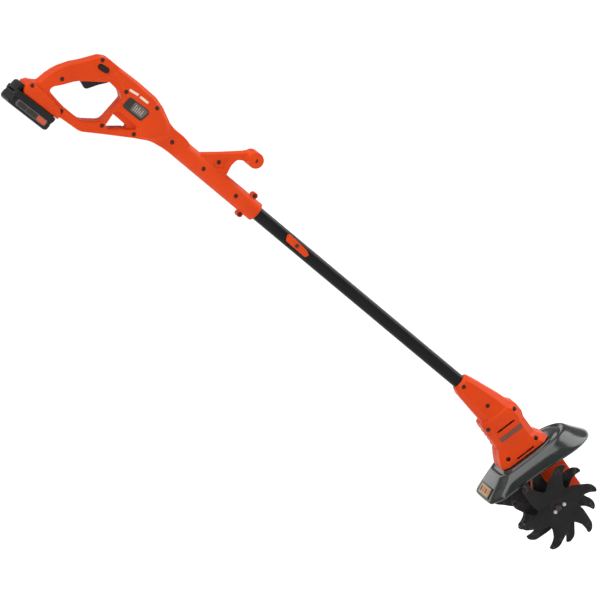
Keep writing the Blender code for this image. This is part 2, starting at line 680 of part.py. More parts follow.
HOUSING_SECTIONS = [
    # rear x and z, front x and z, half width, corner chamfer
    (226.5, -864, 247.0, -859, 13.0, 5.0),
    (223.0, -870, 254.0, -863, 18.0, 7.0),
    (221.5, -880, 260.5, -876, 20.5, 8.0),
    (226.0, -928, 281.0, -925, 27.0, 11.0),
    (227.5, -941.5, 286.5, -941, 29.0, 12.0),
    (222.5, -945.5, 289.0, -944, 32.0, 12.0),
    (221.5, -953, 293.0, -949, 33.0, 12.0),
    (221.5, -964, 294.0, -966, 33.0, 12.0),
    (222.0, -981, 290.7, -976, 33.0, 12.0),
    (221.0, -999, 291.0, -1008, 33.5, 12.0),
    (214.5, -1010.5, 295.0, -1014.5, 35.0, 12.0),
    (208.5, -1024, 301.5, -1024, 37.0, 13.0),
    (207.0, -1030.7, 305.0, -1030.7, 38.0, 13.0),
]
HOUSING_SCREWS = [
    (236.8, -870.4, 18.7), (250.5, -921.0, 26.0), (284.5, -953.0, 30.0), (227.0, -955.0, 30.0),
    (285.5, -1017.2, 32.3), (225.6, -1017.4, 32.3),
]  # fmt: skip
# Vent slots on both sides of the motor housing: height, rear end, front end and opening.
VENTS = [(-968, 237, 273, 3.0), (-1026, 238, 274, 2.6)]
RIB_REAR = 221.3
RIB_COUNT = 5
RIB_PITCH = 9.2
RIB_TOP = -961.0
RIB_RADIUS = 2.1


def housing_section(rear_x, rear_z, front_x, front_z, half, chamfer, wall=0.0):
    """One chamfered rectangle of the motor housing, tilted where its two ends differ in height."""
    rear, front, side = rear_x + wall, front_x - wall, half - wall
    slope = (front_z - rear_z) / (front_x - rear_x)
    corner = chamfer - 0.4 * wall
    plan = [
        (rear, side - corner), (rear + corner, side), (front - corner, side), (front, side - corner),
        (front, corner - side), (front - corner, -side), (rear + corner, -side), (rear, corner - side),
    ]  # fmt: skip
    return [(x, y, rear_z + (x - rear_x) * slope) for x, y in plan]


def make_motor_housing():
    solid = loft("motor_housing", [housing_section(*row) for row in HOUSING_SECTIONS])
    inner_rows = [row for row in HOUSING_SECTIONS if row[1] < -875]
    inner = [housing_section(*row, wall=WALL) for row in inner_rows]
    inner.append([(x, y, -1040) for x, y, _ in inner[-1]])
    room = loft("motor_room", inner)
    bosses, holes = screw_seats(HOUSING_SCREWS, "housing")
    cut(solid, room)
    tube_end = shaft_rod("tube_holder", TUBE_RADIUS + 3.0, -906, TUBE_BOTTOM - 3, 28)
    join(solid, tube_end, *bosses)
    cut(solid, shaft_rod("tube_socket", TUBE_RADIUS + GAP, -850, TUBE_BOTTOM - 8, 32))
    cut(solid, *holes)
    for level, low_x, high_x, height in VENTS:
        for side in (-1, 1):
            cut(solid, box(f"vent_{level}_{side}", (low_x, side * 36 - 8, level - height / 2),
                           (high_x, side * 36 + 8, level + height / 2)))  # fmt: skip
    for side in (-1, 1):
        band = box(f"band_{side}", (233, side * 38 - 6.3, -988), (279, side * 38 + 6.3, -978.5))
        cut(solid, band)
    for index in range(RIB_COUNT):
        z = RIB_TOP - index * RIB_PITCH
        cut(solid, rod(f"rib_{index}", RIB_RADIUS, (RIB_REAR, -40, z), (RIB_REAR, 40, z), 10))
    baked(solid)
    for shell in split(solid, "motor_housing_right", "motor_housing_left"):
        as_part(shell, "shell_orange")
    make_screws(HOUSING_SCREWS, "housing_screw")


def gear_outline(teeth, module, phase):
    """A spur gear's outline about its own centre, with straight-sided teeth and some backlash."""
    pitch_radius = teeth * module / 2
    tooth = math.tau / teeth
    outline = []
    for index in range(teeth):
        middle = phase + index * tooth
        for radius, part in (
            (pitch_radius - 1.15 * module, -0.27),
            (pitch_radius + 0.85 * module, -0.1),
            (pitch_radius + 0.85 * module, 0.1),
            (pitch_radius - 1.15 * module, 0.27),
        ):
            angle = middle + part * tooth
            outline.append((radius * math.cos(angle), radius * math.sin(angle)))
    return outline


def gear(name, outline, centre, low, high):
    """A flat gear lying level, on a vertical axis at (x, y)."""
    blank = plate(name, [outline], (high - low) / 2)
    place = Matrix.Translation(Vector((*centre, (low + high) / 2)) * MM)
    blank.data.transform(place @ Matrix.Rotation(math.pi / 2, 4, "X"))
    return blank


MODULE_MM = 1.0
PINION_TEETH = 9
GEAR_TEETH = 36
GEAR_LOW, GEAR_HIGH = -1029.0, -1023.0
FAN_BLADES = 8
# Profiles of the turned pieces, as (radius, z) from top to bottom.
CAN_PROFILE = [
    (2.8, -1004), (17.6, -1004), (17.6, -951), (19.0, -950), (19.0, -1006), (2.8, -1006), (2.8, -1004),
]  # fmt: skip
ARMATURE_PROFILE = [
    (0, -940), (2.0, -940), (2.0, -954), (8.0, -954), (8.0, -962), (13.5, -964), (13.5, -994),
    (8.0, -998), (2.0, -1000), (2.0, -1029.5), (0, -1029.5),
]  # fmt: skip
FAN_PROFILE = [(2.3, -942), (5, -942), (5, -945), (16, -945), (16, -947), (2.3, -947), (2.3, -942)]


def make_motor():
    as_part(turned("motor_can", CAN_PROFILE, (MOTOR_X, 0), 32), "bare_steel")
    armature = turned("motor_armature", ARMATURE_PROFILE, (MOTOR_X, 0), 24)
    pinion = gear("pinion", gear_outline(PINION_TEETH, MODULE_MM, 0.0), (MOTOR_X, 0), GEAR_LOW, GEAR_HIGH)
    as_part(baked(join(armature, pinion)), "copper", (MOTOR_X, 0, -980))
    fan = turned("cooling_fan", FAN_PROFILE, (MOTOR_X, 0), 24)
    for index in range(FAN_BLADES):
        blade = box(f"fan_blade_{index}", (4, -0.6, -946), (15, 0.6, -941.5))
        turn = Matrix.Rotation(index * math.tau / FAN_BLADES, 4, "Z")
        blade.data.transform(Matrix.Translation((MOTOR_X * MM, 0, 0)) @ turn)
        join(fan, blade)
    as_part(baked(fan), "black_plastic", (MOTOR_X, 0, -945))


# ------------------------------------------------------ gearbox and tines

GEARBOX_OUTLINE = [
    (251, -1035.5, 3), (247.5, -1062, 10), (243, -1080, 10), (229, -1108, 12), (224.5, -1123, 14),
    (229, -1143, 12), (246, -1147, 10), (296, -1147, 8), (304.5, -1139, 6), (304.5, -1060, 10),
    (299, -1035.5, 3),
]  # fmt: skip
GEARBOX_ROOM = [
    (256, -1050, 3), (251, -1066, 6), (247, -1080, 6), (233.5, -1108, 9), (229, -1123, 9), (233, -1138, 9),
    (247, -1142, 8), (292, -1142, 6), (301, -1134, 4), (301, -1060, 6), (296, -1050, 3),
]  # fmt: skip
CRANK_LOW = -1118.0
THROW_UPPER, THROW_LOWER = 5.0, 3.0
WEB_RADIUS, THROW_RADIUS = 8.4, 3.0
# The crank below its shaft, from the top down: radius, y, low and high.
CRANK_PIECES = [
    (WEB_RADIUS, 0, -1081, -1078), (THROW_RADIUS, THROW_UPPER, -1093, -1080), (WEB_RADIUS, 0, -1095, -1092),
    (THROW_RADIUS, -THROW_LOWER, -1106, -1094), (WEB_RADIUS, 0, -1108, -1105),
    (THROW_RADIUS, 0, CRANK_LOW, -1107),
]  # fmt: skip
FORK_UPPER, FORK_LOWER = (-1091.0, -1082.0), (-1104.5, -1095.5)
FORK_HALF_SLOT = 14.8
FORK_PRONG = 3.0
LEVER_DEPTH = 9.2
AXLE_RADIUS = 5.0
HUB_RADIUS = 11.0
HUB_CLEARANCE = 0.8
NUT_RADIUS = 8.0
NUT_HIGH = 4.0
AXLE_END = 7.0


def make_gearbox():
    case = plate("gearbox_case", [rounded(GEARBOX_OUTLINE)], GEARBOX_HALF, 3.0)
    join(case, box("gearbox_neck", (266, -10, -1040), (287, 10, -1029.8), 1.5, 1))
    cut(case, plate("gearbox_room", [rounded(GEARBOX_ROOM)], GEARBOX_HALF - 3.5))
    cut(case, rod("crank_bore", 4.4, (CRANK_X, 0, -1055), (CRANK_X, 0, -1020), 20))
    cut(case, rod("crank_foot", 3.4, (CRANK_X, 0, -1119), (CRANK_X, 0, -1100), 16))
    cut(case, rod("axle_bore", AXLE_RADIUS + GAP, (AXLE[0], -40, AXLE[1]), (AXLE[0], 40, AXLE[1]), 28))
    baked(case)
    for shell in split(case, "gearbox_case_right", "gearbox_case_left"):
        as_part(shell, "shell_orange")


def make_crank():
    """The vertical crank: its drive gear on top, and two throws that swing the tine levers."""
    shaft = rod("drive_crank", 4.0, (CRANK_X, 0, -1079), (CRANK_X, 0, -1012), 20)
    teeth = gear_outline(GEAR_TEETH, MODULE_MM, math.pi / GEAR_TEETH)
    join(shaft, gear("drive_gear", teeth, (CRANK_X, 0), GEAR_LOW, GEAR_HIGH))
    for index, (radius, y, low, high) in enumerate(CRANK_PIECES):
        join(shaft, rod(f"crank_piece_{index}", radius, (CRANK_X, y, low), (CRANK_X, y, high), 20))
    as_part(baked(shaft), "bare_steel", (CRANK_X, 0, -1060))


def tine_outline(phase):
    """A wheel of hooked tines. Each tine's back and front edge are (radius, degrees from its tip)."""
    tine = [
        (35.5, -14.0), (36.0, -9.0), (40.5, -3.5), (47.5, 0.5), (55.0, 2.0), (64.0, 0.5), (72.0, -1.5),
        (TINE_RADIUS, 3.0), (71.5, 8.5), (67.0, 13.5), (60.0, 18.0), (52.5, 24.5), (45.0, 33.0), (38.0, 41.5),
    ]  # fmt: skip
    outline = []
    for index in range(TINE_COUNT):
        tip = phase + index * math.tau / TINE_COUNT
        for radius, degrees in tine:
            angle = tip + math.radians(degrees)
            outline.append((AXLE[0] + radius * math.cos(angle), AXLE[1] + radius * math.sin(angle)))
    return outline


def round_outline(radius, sides=24):
    angles = [index * math.tau / sides for index in range(sides)]
    return [(AXLE[0] + radius * math.cos(angle), AXLE[1] + radius * math.sin(angle)) for angle in angles]


WHEELS = (
    # name, distance from the middle plane, turn on the right and on the left, bore radius
    ("inner", INNER_WHEEL, (INNER_PHASE, LEFT_INNER_PHASE), HUB_RADIUS + GAP),
    ("outer", OUTER_WHEEL, (OUTER_PHASE, LEFT_OUTER_PHASE), AXLE_RADIUS + GAP),
)


def make_tines():
    x, z = AXLE
    pivot = (x, 0, z)
    for row, (side, word) in enumerate(((-1, "right"), (1, "left"))):
        for name, place, phases, bore_radius in WHEELS:
            outlines = [tine_outline(phases[row]), round_outline(bore_radius)]
            wheel = plate(f"{name}_tines_{word}", outlines, TINE_THICK / 2, middle=side * place)
            as_part(wheel, "tine_steel", pivot)
        inner_face = GEARBOX_HALF + HUB_CLEARANCE
        outer_face = OUTER_WHEEL - TINE_THICK / 2 - GAP
        sleeve = rod(f"tine_hub_{word}", HUB_RADIUS, (x, side * inner_face, z), (x, side * outer_face, z), 28)
        bore = rod(f"tine_hub_bore_{word}", AXLE_RADIUS + GAP, (x, side * 10, z), (x, side * 90, z), 24)
        as_part(baked(cut(sleeve, bore)), "black_plastic", pivot)
        cap_start = side * (OUTER_WHEEL + TINE_THICK / 2 + GAP)
        cap = rod(f"axle_nut_{word}", NUT_RADIUS, (x, cap_start, z), (x, cap_start + side * NUT_HIGH, z), 6)
        cap_bore = rod(f"axle_nut_bore_{word}", AXLE_RADIUS + GAP, (x, side * 80, z), (x, side * 95, z), 24)
        as_part(baked(cut(cap, cap_bore)), "screw_steel", pivot)


def make_axles():
    """Two half axles on one line, each with the lever that a crank throw swings."""
    x, z = AXLE
    for side, word, fork in ((-1, "right", FORK_UPPER), (1, "left", FORK_LOWER)):
        end = side * (OUTER_WHEEL + AXLE_END)
        axle = rod(f"axle_{word}", AXLE_RADIUS, (x, side * 0.8, z), (x, end, z), 24)
        join(axle, rod(f"lever_hub_{word}", 9.0, (x, side * 0.8, z), (x, side * LEVER_DEPTH, z), 20))
        low, high = fork
        rear, front = CRANK_X - FORK_HALF_SLOT, CRANK_X + FORK_HALF_SLOT
        outline = [(x - 6, z + 4), (x + 8, z - 2), (rear, low), (rear, high), (rear - 8, high)]
        half, middle = LEVER_DEPTH / 2 - 0.6, side * (LEVER_DEPTH / 2 + 0.4)
        arm = plate(f"lever_arm_{word}", [outline], half, middle=middle)
        near, far = sorted((side * 0.8, side * (LEVER_DEPTH + FORK_PRONG)))
        block = box(f"lever_fork_{word}", (rear - FORK_PRONG, near, low), (front + FORK_PRONG, far, high))
        join(axle, arm, block)
        near, far = sorted((-side * 5, side * LEVER_DEPTH))
        cut(axle, box(f"lever_slot_{word}", (rear, near, low - 3), (front, far, high + 3)))
        as_part(baked(axle), "bare_steel", (x, 0, z))


# ------------------------------------------------------------------- guard

GUARD_RINGS = [
    # rear x, end of the straight sides, front x, half width, rear corner cut, z
    (153.5, 298.0, 367.0, 70.0, 23.0, -1060.0),
    (154.0, 298.0, 367.0, 70.0, 23.0, -1055.0),
    (177.0, 286.0, 356.0, 63.0, 22.0, -1043.0),
    (197.0, 275.0, 340.0, 52.0, 19.0, -1035.5),
    (202.0, 264.0, 323.0, 45.0, 16.0, GUARD_TOP),
    (262.0, 284.0, 290.5, 12.5, 2.0, GUARD_TOP),
]
FRONT_POINTS = 15
# How far the front of the rim dips, where the dip starts, and the depth at which it is full.
FRONT_DIP = 15.0
DIP_START = 230.0
DIP_REACH = 134.0
DIP_DEPTH = 11.5
DIP_CURVE = 1.8
BADGE_DEEP = 17.0
BADGE_WIDE = 54.0


def guard_ring(rear, side_end, front, half, corner, z):
    """One level of the guard: a flat rear edge, cut corners, straight sides and an elliptic front."""
    plan = [(rear, corner - half), (rear + corner, -half), ((rear + corner + side_end) / 2, -half)]
    for step in range(FRONT_POINTS):
        angle = math.pi * (step / (FRONT_POINTS - 1) - 0.5)
        plan.append((side_end + (front - side_end) * math.cos(angle), half * math.sin(angle)))
    plan += [((rear + corner + side_end) / 2, half), (rear + corner, half), (rear, half - corner)]
    points = []
    for x, y in plan:
        share = max(0.0, (x - DIP_START) / DIP_REACH) ** DIP_CURVE
        dip = FRONT_DIP * share * min(1.0, (GUARD_TOP - z) / DIP_DEPTH)
        points.append((x, y, z - dip))
    return points


def make_guard():
    shape = bmesh.new()
    rings = [[shape.verts.new(point) for point in guard_ring(*row)] for row in GUARD_RINGS]
    count = len(rings[0])
    for lower, upper in zip(rings, rings[1:]):
        for index in range(count):
            after = (index + 1) % count
            shape.faces.new((lower[index], lower[after], upper[after], upper[index]))
    guard = add_mesh("guard", shape)
    solidify = guard.modifiers.new("wall", "SOLIDIFY")
    solidify.thickness = GUARD_WALL * MM
    solidify.offset = -1.0
    as_part(baked(guard), "guard_plastic")

    slope = math.atan2(GUARD_RINGS[2][5] - GUARD_RINGS[1][5], GUARD_RINGS[2][0] - GUARD_RINGS[1][0])
    middle = ((GUARD_RINGS[1][0] + GUARD_RINGS[2][0]) / 2, 0, (GUARD_RINGS[1][5] + GUARD_RINGS[2][5]) / 2)
    half_deep, half_wide = BADGE_DEEP / 2, BADGE_WIDE / 2
    badge = box("guard_badge", (-half_deep, -half_wide, 0.15), (half_deep, half_wide, 1.15), 0.3, 1)
    badge.data.transform(Matrix.Translation(Vector(middle) * MM) @ Matrix.Rotation(-slope, 4, "Y"))
    as_part(badge, "label_plate")


make_handle()
make_controls()
make_battery()
make_shaft()
make_cable()
make_motor_housing()
make_motor()
make_gearbox()
make_crank()
make_guard()
make_tines()
make_axles()
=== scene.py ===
"""The looks of the garden tiller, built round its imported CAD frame."""

import json
import math

import bmesh
import bpy
import numpy as np
from mathutils import Matrix, Vector


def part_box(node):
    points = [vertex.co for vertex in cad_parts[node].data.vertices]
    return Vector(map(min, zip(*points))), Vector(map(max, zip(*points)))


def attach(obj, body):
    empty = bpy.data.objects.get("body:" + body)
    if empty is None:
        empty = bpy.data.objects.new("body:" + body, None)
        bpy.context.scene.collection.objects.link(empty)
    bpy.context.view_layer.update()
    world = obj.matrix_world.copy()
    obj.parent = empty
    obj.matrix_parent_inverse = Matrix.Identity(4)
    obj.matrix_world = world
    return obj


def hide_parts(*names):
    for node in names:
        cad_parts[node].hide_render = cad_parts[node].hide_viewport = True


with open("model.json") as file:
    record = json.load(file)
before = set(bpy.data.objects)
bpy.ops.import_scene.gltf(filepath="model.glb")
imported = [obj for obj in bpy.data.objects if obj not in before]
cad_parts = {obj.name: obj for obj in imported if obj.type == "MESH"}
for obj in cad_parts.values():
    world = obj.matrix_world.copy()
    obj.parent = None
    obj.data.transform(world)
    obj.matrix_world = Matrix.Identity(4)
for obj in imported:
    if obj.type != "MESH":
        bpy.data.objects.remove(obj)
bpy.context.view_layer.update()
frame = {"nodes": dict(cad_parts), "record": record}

MM = 0.001
ROOT = "tiller_body"
SHAFT_TILT = math.radians(-13.92)
TUBE_X = 22.0
AXLE = (242.2, -1122.0)
SIDES = ((-1, "right"), (1, "left"))


# -------------------------------------------------------------- materials

COAT_ROUGHNESS = 0.12
# The mix node's two colour inputs and its colour output, which share their names with its other sockets.
MIX_FIRST, MIX_SECOND, MIX_RESULT = 6, 7, 2
# Noise scales of moulded plastic, in cells per metre, and the height of its slow waves in metres.
COLOUR_DRIFT = 14.0
GLOSS_DRIFT = 55.0
SPARK_GRAIN = 1500.0
SURFACE_WAVES = 60.0
WAVE_HEIGHT = 0.00010


class Paint:
    """A node material under construction: a Principled shader with procedural inputs."""

    def __init__(self, name, roughness, metallic=0.0, specular=0.5, coat=0.0):
        self.material = bpy.data.materials.new(name)
        self.material.use_nodes = True
        self.tree = self.material.node_tree
        self.shader = self.tree.nodes["Principled BSDF"]
        self.shader.inputs["Roughness"].default_value = roughness
        self.shader.inputs["Metallic"].default_value = metallic
        self.shader.inputs["Specular IOR Level"].default_value = specular
        self.shader.inputs["Coat Weight"].default_value = coat
        self.shader.inputs["Coat Roughness"].default_value = COAT_ROUGHNESS
        self.place = self.tree.nodes.new("ShaderNodeTexCoord").outputs["Object"]

    def noise(self, scale, detail=3.0, stretch=(1.0, 1.0, 1.0)):
        """Noise over the object, scale being its cells per metre."""
        mapping = self.tree.nodes.new("ShaderNodeMapping")
        mapping.inputs["Scale"].default_value = stretch
        texture = self.tree.nodes.new("ShaderNodeTexNoise")
        texture.inputs["Scale"].default_value = scale
        texture.inputs["Detail"].default_value = detail
        self.tree.links.new(self.place, mapping.inputs["Vector"])
        self.tree.links.new(mapping.outputs["Vector"], texture.inputs["Vector"])
        return texture.outputs["Fac"]

    def spread(self, source, low, high, start=0.3, end=0.7):
        """A value that runs from low to high as source runs from start to end."""
        node = self.tree.nodes.new("ShaderNodeMapRange")
        ends = {"From Min": start, "From Max": end, "To Min": low, "To Max": high}
        for socket, value in ends.items():
            node.inputs[socket].default_value = value
        self.tree.links.new(source, node.inputs["Value"])
        return node.outputs["Result"]

    def mix(self, share, first, second):
        """A colour between two others. Each may be a colour or a socket."""
        node = self.tree.nodes.new("ShaderNodeMix")
        node.data_type = "RGBA"
        self.tree.links.new(share, node.inputs["Factor"])
        for socket, colour in ((node.inputs[MIX_FIRST], first), (node.inputs[MIX_SECOND], second)):
            if isinstance(colour, tuple):
                socket.default_value = (*colour, 1.0)
            else:
                self.tree.links.new(colour, socket)
        return node.outputs[MIX_RESULT]

    def colour(self, source):
        self.tree.links.new(source, self.shader.inputs["Base Color"])

    def roughness(self, source):
        self.tree.links.new(source, self.shader.inputs["Roughness"])

    def bump(self, source, height, strength=1.0):
        """Relief of the given height in metres. A second call adds to the first."""
        node = self.tree.nodes.new("ShaderNodeBump")
        node.inputs["Distance"].default_value = height
        node.inputs["Strength"].default_value = strength
        before = self.shader.inputs["Normal"]
        if before.is_linked:
            self.tree.links.new(before.links[0].from_socket, node.inputs["Normal"])
        self.tree.links.new(source, node.inputs["Height"])
        self.tree.links.new(node.outputs["Normal"], self.shader.inputs["Normal"])


def moulded(name, colour, shade, roughness, grain=0.00003, specular=0.3, coat=0.0):
    """Moulded plastic: a slight drift of colour, uneven gloss, and a fine spark-eroded grain."""
    paint = Paint(name, roughness, specular=specular, coat=coat)
    paint.colour(paint.mix(paint.spread(paint.noise(COLOUR_DRIFT), 0.0, 1.0), colour, shade))
    paint.roughness(paint.spread(paint.noise(GLOSS_DRIFT, 5.0), roughness - 0.05, roughness + 0.07))
    paint.bump(paint.noise(SPARK_GRAIN, 2.0), grain, 0.6)
    paint.bump(paint.noise(SURFACE_WAVES, 2.0), WAVE_HEIGHT, 0.35)
    return paint.material


def coated(name, colour, shade, roughness):
    """Powder-coated tube: orange peel with a few dull rub marks."""
    paint = Paint(name, roughness, specular=0.12)
    rubs = paint.spread(paint.noise(30.0, 6.0, (1.0, 1.0, 0.15)), 0.0, 1.0, 0.5, 0.8)
    paint.colour(paint.mix(rubs, colour, shade))
    paint.roughness(paint.spread(paint.noise(90.0, 4.0), roughness - 0.04, roughness + 0.10))
    paint.bump(paint.noise(420.0, 2.0), 0.00004, 0.7)
    return paint.material


TINE_BLACK = (0.0085, 0.0078, 0.0077)
TINE_SOILED = (0.014, 0.0128, 0.0124)
TINE_WORN = (0.085, 0.078, 0.072)
# Distances from the axle, in metres, between which the wear sets in.
WEAR_START, WEAR_FULL = 0.050, 0.072


def tine_finish(name):
    """Black-coated steel plate: scratches from soil, worn and dusty towards the tips."""
    paint = Paint(name, 0.42, metallic=0.1, specular=0.16)
    nodes, links = paint.tree.nodes, paint.tree.links
    distance = nodes.new("ShaderNodeVectorMath")
    distance.operation = "DISTANCE"
    flat = nodes.new("ShaderNodeVectorMath")
    flat.operation = "MULTIPLY"
    flat.inputs[1].default_value = (1.0, 0.0, 1.0)
    links.new(paint.place, flat.inputs[0])
    links.new(flat.outputs["Vector"], distance.inputs[0])
    distance.inputs[1].default_value = (AXLE[0] * MM, 0.0, AXLE[1] * MM)
    outward = paint.spread(distance.outputs["Value"], 0.0, 1.0, WEAR_START, WEAR_FULL)
    patches = paint.spread(paint.noise(160.0, 6.0), 0.0, 1.0, 0.52, 0.72)
    worn = nodes.new("ShaderNodeMath")
    worn.operation = "MULTIPLY"
    links.new(outward, worn.inputs[0])
    links.new(patches, worn.inputs[1])
    base = paint.mix(paint.spread(paint.noise(26.0, 5.0), 0.0, 1.0), TINE_BLACK, TINE_SOILED)
    paint.colour(paint.mix(worn.outputs["Value"], base, TINE_WORN))
    paint.roughness(paint.spread(paint.noise(120.0, 6.0, (1.0, 1.0, 0.25)), 0.30, 0.55))
    paint.bump(paint.noise(500.0, 3.0), 0.00005, 0.7)
    paint.bump(paint.noise(45.0, 3.0), 0.00025, 0.5)
    return paint.material


def machined(name, colour, shade, roughness, metallic=1.0):
    """Bare metal with fine turned or brushed lines."""
    paint = Paint(name, roughness, metallic=metallic)
    lines = paint.noise(260.0, 4.0, (1.0, 1.0, 9.0))
    paint.colour(paint.mix(paint.spread(lines, 0.0, 1.0), colour, shade))
    paint.roughness(paint.spread(paint.noise(80.0, 4.0), roughness - 0.06, roughness + 0.10))
    paint.bump(lines, 0.00002, 0.5)
    return paint.material


def woven(name, colour, shade, roughness, turns):
    """A surface of close parallel strands. turns is the wave texture's scale along Z."""
    paint = Paint(name, roughness)
    wave = paint.tree.nodes.new("ShaderNodeTexWave")
    wave.bands_direction = "Z"
    wave.inputs["Scale"].default_value = turns
    wave.inputs["Distortion"].default_value = 0.4
    paint.tree.links.new(paint.place, wave.inputs["Vector"])
    paint.colour(paint.mix(wave.outputs["Fac"], shade, colour))
    paint.roughness(paint.spread(paint.noise(90.0), roughness - 0.05, roughness + 0.08))
    paint.bump(wave.outputs["Fac"], 0.0002, 0.6)
    return paint.material


ORANGE, ORANGE_SHADE = (0.690, 0.054, 0.0030), (0.600, 0.044, 0.0026)
BLACK, BLACK_SHADE = (0.0075, 0.0072, 0.0074), (0.0115, 0.0110, 0.0112)
GUARD_BLACK, GUARD_SHADE = (0.012, 0.016, 0.0150), (0.018, 0.022, 0.0205)
TUBE_BLACK, TUBE_SHADE = (0.0055, 0.0055, 0.0058), (0.0090, 0.0090, 0.0093)
BLACKENED, BLACKENED_SHADE = (0.022, 0.012, 0.010), (0.036, 0.020, 0.016)
# Grain height of a smooth printed or polished face, in metres.
FINE_GRAIN = 0.00001

FINISHES = {
    "shell_orange": moulded("orange_shell", ORANGE, ORANGE_SHADE, 0.42, specular=0.14),
    "black_plastic": moulded("black_grip_plastic", BLACK, BLACK_SHADE, 0.46, 0.00005, 0.20),
    "grey_plastic": moulded("grey_plastic", (0.120, 0.118, 0.115), (0.095, 0.094, 0.092), 0.50),
    "guard_plastic": moulded("guard_gloss", GUARD_BLACK, GUARD_SHADE, 0.17, FINE_GRAIN, 0.5, 0.25),
    "tube_paint": coated("tube_coating", TUBE_BLACK, TUBE_SHADE, 0.22),
    "tine_steel": tine_finish("tine_coating"),
    "screw_steel": machined("blackened_screw", BLACKENED, BLACKENED_SHADE, 0.42, 0.3),
    "bare_steel": machined("bare_steel", (0.50, 0.50, 0.51), (0.62, 0.62, 0.63), 0.32),
    "copper": woven("copper_winding", (0.72, 0.30, 0.13), (0.38, 0.14, 0.06), 0.34, 420.0),
    "label_plate": moulded("label_plate", (0.250, 0.250, 0.245), (0.300, 0.298, 0.290), 0.34, FINE_GRAIN),
    "cell_wrap": woven("cell_wrap", (0.06, 0.20, 0.36), (0.045, 0.15, 0.28), 0.36, 60.0),
    "cable_rubber": moulded("cable_jacket", (0.016, 0.016, 0.016), (0.026, 0.026, 0.026), 0.58),
    "circuit_green": moulded("circuit_board", (0.015, 0.130, 0.050), (0.030, 0.190, 0.080), 0.30),
}
LABEL_GREY = moulded("label_grey", (0.135, 0.112, 0.094), (0.100, 0.084, 0.072), 0.36, FINE_GRAIN)
LABEL_LINE = moulded("label_line", (0.420, 0.390, 0.360), (0.350, 0.325, 0.300), 0.40, FINE_GRAIN)
DARK_LABEL = moulded("dark_label", (0.022, 0.017, 0.014), (0.045, 0.034, 0.026), 0.30, FINE_GRAIN)
PALE_PRINT = moulded("pale_print", (0.78, 0.66, 0.56), (0.72, 0.58, 0.48), 0.45, FINE_GRAIN)
ORANGE_PRINT = moulded("orange_print", (0.62, 0.085, 0.030), (0.52, 0.065, 0.022), 0.42, FINE_GRAIN)
GREY_INSET = moulded("battery_inset", (0.078, 0.072, 0.072), (0.098, 0.090, 0.090), 0.42)
VENT_BROWN = moulded("vent_insert", (0.240, 0.080, 0.052), (0.190, 0.064, 0.042), 0.55, 0.00006)
ZINC = machined("zinc_rivet", (0.36, 0.37, 0.36), (0.48, 0.49, 0.48), 0.36, 0.8)
BADGE_PALE = moulded("badge_pale", (0.46, 0.36, 0.16), (0.33, 0.22, 0.10), 0.40, 0.00002)


# ------------------------------------------------------------------ tools

# Points closer than this, in metres, are one.
WELD = 1e-6
SMOOTHING = 0.5
# The most of an edge's length that one corner's fillet may take.
FILLET_SHARE = 0.45
# The bevel profile that is an arc.
ROUND_PROFILE = 0.5
# Points to each stretch of a smooth loop.
CURVE_STEPS = 4


def new_object(name, data):
    obj = bpy.data.objects.new(name, data)
    bpy.context.scene.collection.objects.link(obj)
    return obj


def mesh_of(name, shape):
    """A new mesh of a finished bmesh, which is freed."""
    mesh = bpy.data.meshes.new(name)
    shape.to_mesh(mesh)
    shape.free()
    return mesh


def join_rings(shape, rings):
    """Walls between each ring of points and the next."""
    for lower, upper in zip(rings, rings[1:]):
        for index in range(len(lower)):
            after = (index + 1) % len(lower)
            shape.faces.new((lower[index], lower[after], upper[after], upper[index]))


def baked(obj):
    """The object with its modifiers made part of its mesh, shaded smooth."""
    bpy.context.view_layer.update()
    graph = bpy.context.evaluated_depsgraph_get()
    mesh = bpy.data.meshes.new_from_object(obj.evaluated_get(graph))
    obj.modifiers.clear()
    mesh.shade_smooth()
    mesh.name = obj.name
    obj.data = mesh
    return obj


def dressed(obj, body, slot, material=None, replaced=()):
    """Gives a finished piece its material, the given one or else its slot's finish, and its body, and hides
    the CAD nodes it stands for.
    """
    obj.data.materials.clear()
    obj.data.materials.append(material or FINISHES[slot])
    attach(obj, body)
    if replaced:
        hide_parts(*replaced)
    return obj


def to_world(angle, x, y, z):
    """A point of a frame turned about Y, in millimetres, as world metres."""
    return Matrix.Rotation(angle, 4, "Y") @ (Vector((x, y, z)) * MM)


def solid_of(name, nodes, extras=()):
    """A welded copy of some CAD nodes, with extra meshes laid in it."""
    shape = bmesh.new()
    for node in nodes:
        shape.from_mesh(frame["nodes"][node].data)
    for extra in extras:
        shape.from_mesh(extra.data)
        bpy.data.objects.remove(extra)
    bmesh.ops.remove_doubles(shape, verts=shape.verts, dist=WELD)
    return new_object(name, mesh_of(name, shape))


def remeshed(obj, voxel, passes):
    """Turns hard CAD edges into moulded ones: an even fine mesh, then a few smoothing passes."""
    remesh = obj.modifiers.new("even", "REMESH")
    remesh.mode = "VOXEL"
    remesh.voxel_size = voxel * MM
    soften = obj.modifiers.new("soften", "SMOOTH")
    soften.factor = SMOOTHING
    soften.iterations = passes
    return baked(obj)


def thinned(obj, share):
    decimate = obj.modifiers.new("thin", "DECIMATE")
    decimate.ratio = share
    return baked(obj)


def moulding(name, nodes, body, slot, voxel=0.9, passes=4, share=0.35, extras=()):
    """A CAD node or nodes, remade with the soft edges of a moulding."""
    obj = remeshed(solid_of(name, nodes, extras), voxel, passes)
    return dressed(thinned(obj, share), body, slot, replaced=nodes)


